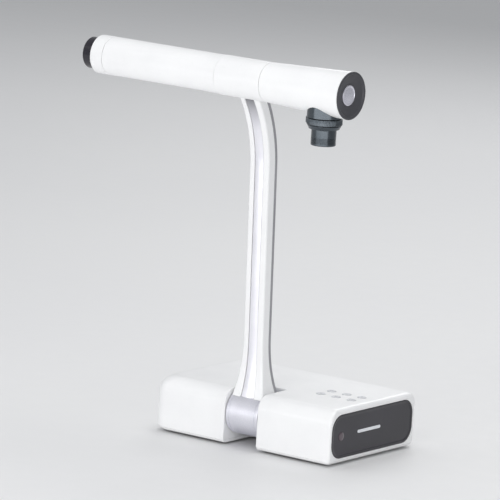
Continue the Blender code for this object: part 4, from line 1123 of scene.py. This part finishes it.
def grip(angle, radius, height):
    """How far the turning ring stands out: one rounded ear, and fine ridges on the rest of its rim."""
    away = abs(angle - EAR_AT)
    if radius < LENS_BORE + 0.002:
        return 0.0
    if away < EAR_HALF_ANGLE:
        return EAR_REACH * (1 - (away / EAR_HALF_ANGLE) ** 2) ** 0.5
    if radius > COLLAR_RADIUS - 0.0003 and RIDGE_EDGE - RING_BOTTOM < height < -RING_TOP - RIDGE_EDGE:
        return -RIDGE_DEPTH * (0.5 - 0.5 * cos(angle * RIDGES))
    return 0.0


def make_lens_seat():
    """The saddle under the head, the turning ring and the cone below it."""
    bore, rim = LENS_BORE, COLLAR_RADIUS
    saddle = link("lens_seat", revolve(saddle_profile, LENS, segments=128))
    dress(saddle, "camera_head", "lens", ["lens_saddle"], 35)

    profile = [(bore, -RING_TOP, 0), (bore, -RING_BOTTOM, 0), (rim, -RING_BOTTOM, 0.0008)]
    profile += [(rim, -RING_BOTTOM + 0.0014, 0), (rim, -RING_TOP - 0.0014, 0), (rim, -RING_TOP, 0.0008)]
    ring = link("aperture_ring", revolve(fillet(profile), LENS, segments=8 * RIDGES, swell=grip))
    dress(ring, "lens_ring", "lens", ["lens_ring"], 40)

    profile = [(bore, -COLLAR_TOP, 0), (bore, -COLLAR_BOTTOM, 0), (rim - 0.003, -COLLAR_BOTTOM, 0.0008)]
    profile.append((rim - 0.0007, -COLLAR_TOP, 0.0006))
    dress(turned("lens_cone", profile, LENS, "Z", 128), "camera_head", "lens", ["lens_collar"])


def make_lens_barrel():
    """The barrel, with baffle steps around the glass and grip grooves outside, and the bulging glass."""
    low, neck, fit, outer = LENS_BOTTOM, COLLAR_BOTTOM + GAP, LENS_BORE_RADIUS - GAP, LENS_RADIUS
    profile = [(BARREL_BORE, -BARREL_TOP, 0), (BARREL_BORE, 0.004 - low, 0), (BAFFLE_START, 0.004 - low, 0)]
    for k in range(4):
        height, step = 0.0034 - low - 0.0008 * k, BAFFLE_START + BAFFLE_STEP * k
        profile += [(step, height, 0), (step + BAFFLE_STEP, height, 0)]
    profile += [(0.0124, -low, 0.0003), (outer, -low, 0.0008)]
    for k in range(5):
        height, groove = 0.0030 - low + 0.0013 * k, outer - 0.0004
        profile += [(outer, height, 0), (groove, height + 0.0002, 0)]
        profile += [(groove, height + 0.0005, 0), (outer, height + 0.0007, 0)]
    profile += [(outer, -neck - 0.0020, 0), (outer, -neck, 0.0004), (fit, -neck, 0), (fit, -BARREL_TOP, 0)]
    barrel = turned("lens_tube", profile, LENS, "Z", 128)
    dress(barrel, "camera_head", "lens", ["lens_barrel"])

    seat = 0.0037 - LENS_BOTTOM
    face = seat - 0.0008
    profile = [(0, seat), (GLASS_RADIUS, seat), (GLASS_RADIUS, face)]
    shares = [1 - k / 12 for k in range(1, 13)]
    profile += [(GLASS_FACE_RADIUS * share, face - GLASS_BULGE * (1 - share * share)) for share in shares]
    glass = link("front_glass", revolve(profile, LENS, segments=128))
    dress(glass, "camera_head", "glass", ["lens_glass"])


# ---- carried-over CAD nodes
CARRIED = {
    "dark": ("base_plate", "friction_disc_left", "friction_disc_right"),
    "steel": ("ballast_plate", "hinge_bracket_left", "hinge_bracket_right", "hinge_pin"),
    "board": ("main_board", "button_board", "led_board", "sensor_board"),
    "aluminium": ("arm_core", "lamp_pivot", "camera_pivot", "lamp_heatsink", "image_sensor"),
    "rubber": ("arm_cable",),
}


def dress_carried():
    for finish, names in CARRIED.items():
        for name in names:
            for slot in NODES[name].material_slots:
                slot.material = FINISHES[finish]


# ---- studio
FLOOR_RADIUS = 40.0
STUDIO_AIM = (0, 0, 0.2)
# Place, size and power of each soft light
LIGHTS = {
    "key": ((0.7, -2.7, 1.7), (1.5, 1.3), 9),
    "side": ((-2.4, -1.3, 1.2), (1.2, 1.6), 7),
    "top": ((0.1, 0.2, 2.3), (1.8, 1.8), 23),
    "back": ((-0.9, 2.5, 1.6), (1.6, 1.2), 14),
}
LOW_LIGHTS, LOW_FIRST_DEGREES, LOW_STEP_DEGREES = 5, -22, 21
LOW_RADIUS, LOW_HEIGHT, LOW_SIZE, LOW_POWER = 2.2, 0.34, (0.82, 0.6), 4.4
SKY_COLOUR, SKY_STRENGTH = (0.95, 0.97, 1.0, 1), 0.43


def make_floor():
    made, tree = new_finish("studio_floor")
    base = mottled(tree, 1.5, 3, 0.3, 0.7, (0.80, 0.80, 0.80), (0.78, 0.78, 0.785))
    shade(tree, base, ranged(tree, noise(tree, 40, 4), 0.3, 0.7, 0.55, 0.7))
    bm = bmesh.new()
    bmesh.ops.create_circle(bm, cap_ends=True, radius=FLOOR_RADIUS, segments=96)
    floor = link("floor", bm)
    floor.data.materials.append(made)


def make_light(name, at, aim, size, power):
    data = bpy.data.lights.new(name, "AREA")
    data.shape = "RECTANGLE"
    data.size, data.size_y = size
    data.energy = power
    lamp = bpy.data.objects.new(name, data)
    bpy.context.scene.collection.objects.link(lamp)
    lamp.location = at
    lamp.visible_camera = False
    lamp.rotation_euler = (Vector(aim) - Vector(at)).to_track_quat("-Z", "Y").to_euler()


def make_studio():
    """A pale floor, four soft lights, a low curtain of five more around the front, and a pale sky."""
    make_floor()
    for name, (at, size, power) in LIGHTS.items():
        make_light(name, at, STUDIO_AIM, size, power)
    for number in range(LOW_LIGHTS):
        turn = radians(LOW_STEP_DEGREES * number + LOW_FIRST_DEGREES)
        at = (LOW_RADIUS * sin(turn), -LOW_RADIUS * cos(turn), LOW_HEIGHT)
        make_light(f"low_{number}", at, (0, 0, LOW_HEIGHT), LOW_SIZE, LOW_POWER)
    world = bpy.data.worlds.new("studio")
    bpy.context.scene.world = world
    world.use_nodes = True
    sky = world.node_tree.nodes["Background"]
    sky.inputs["Color"].default_value = SKY_COLOUR
    sky.inputs["Strength"].default_value = SKY_STRENGTH
    bpy.context.scene.view_settings.view_transform = "Standard"


def main():
    make_camera()
    for make in (
        make_casing, make_panel, make_buttons, make_feet, make_screws, make_sockets, make_inlet,
        make_arm, make_hub, make_housing, make_lamp_casing, make_lamp_cover, make_lamp_end,
        make_head, make_lens_seat, make_lens_barrel, dress_carried,
    ):
        make()
    make_studio()


main()
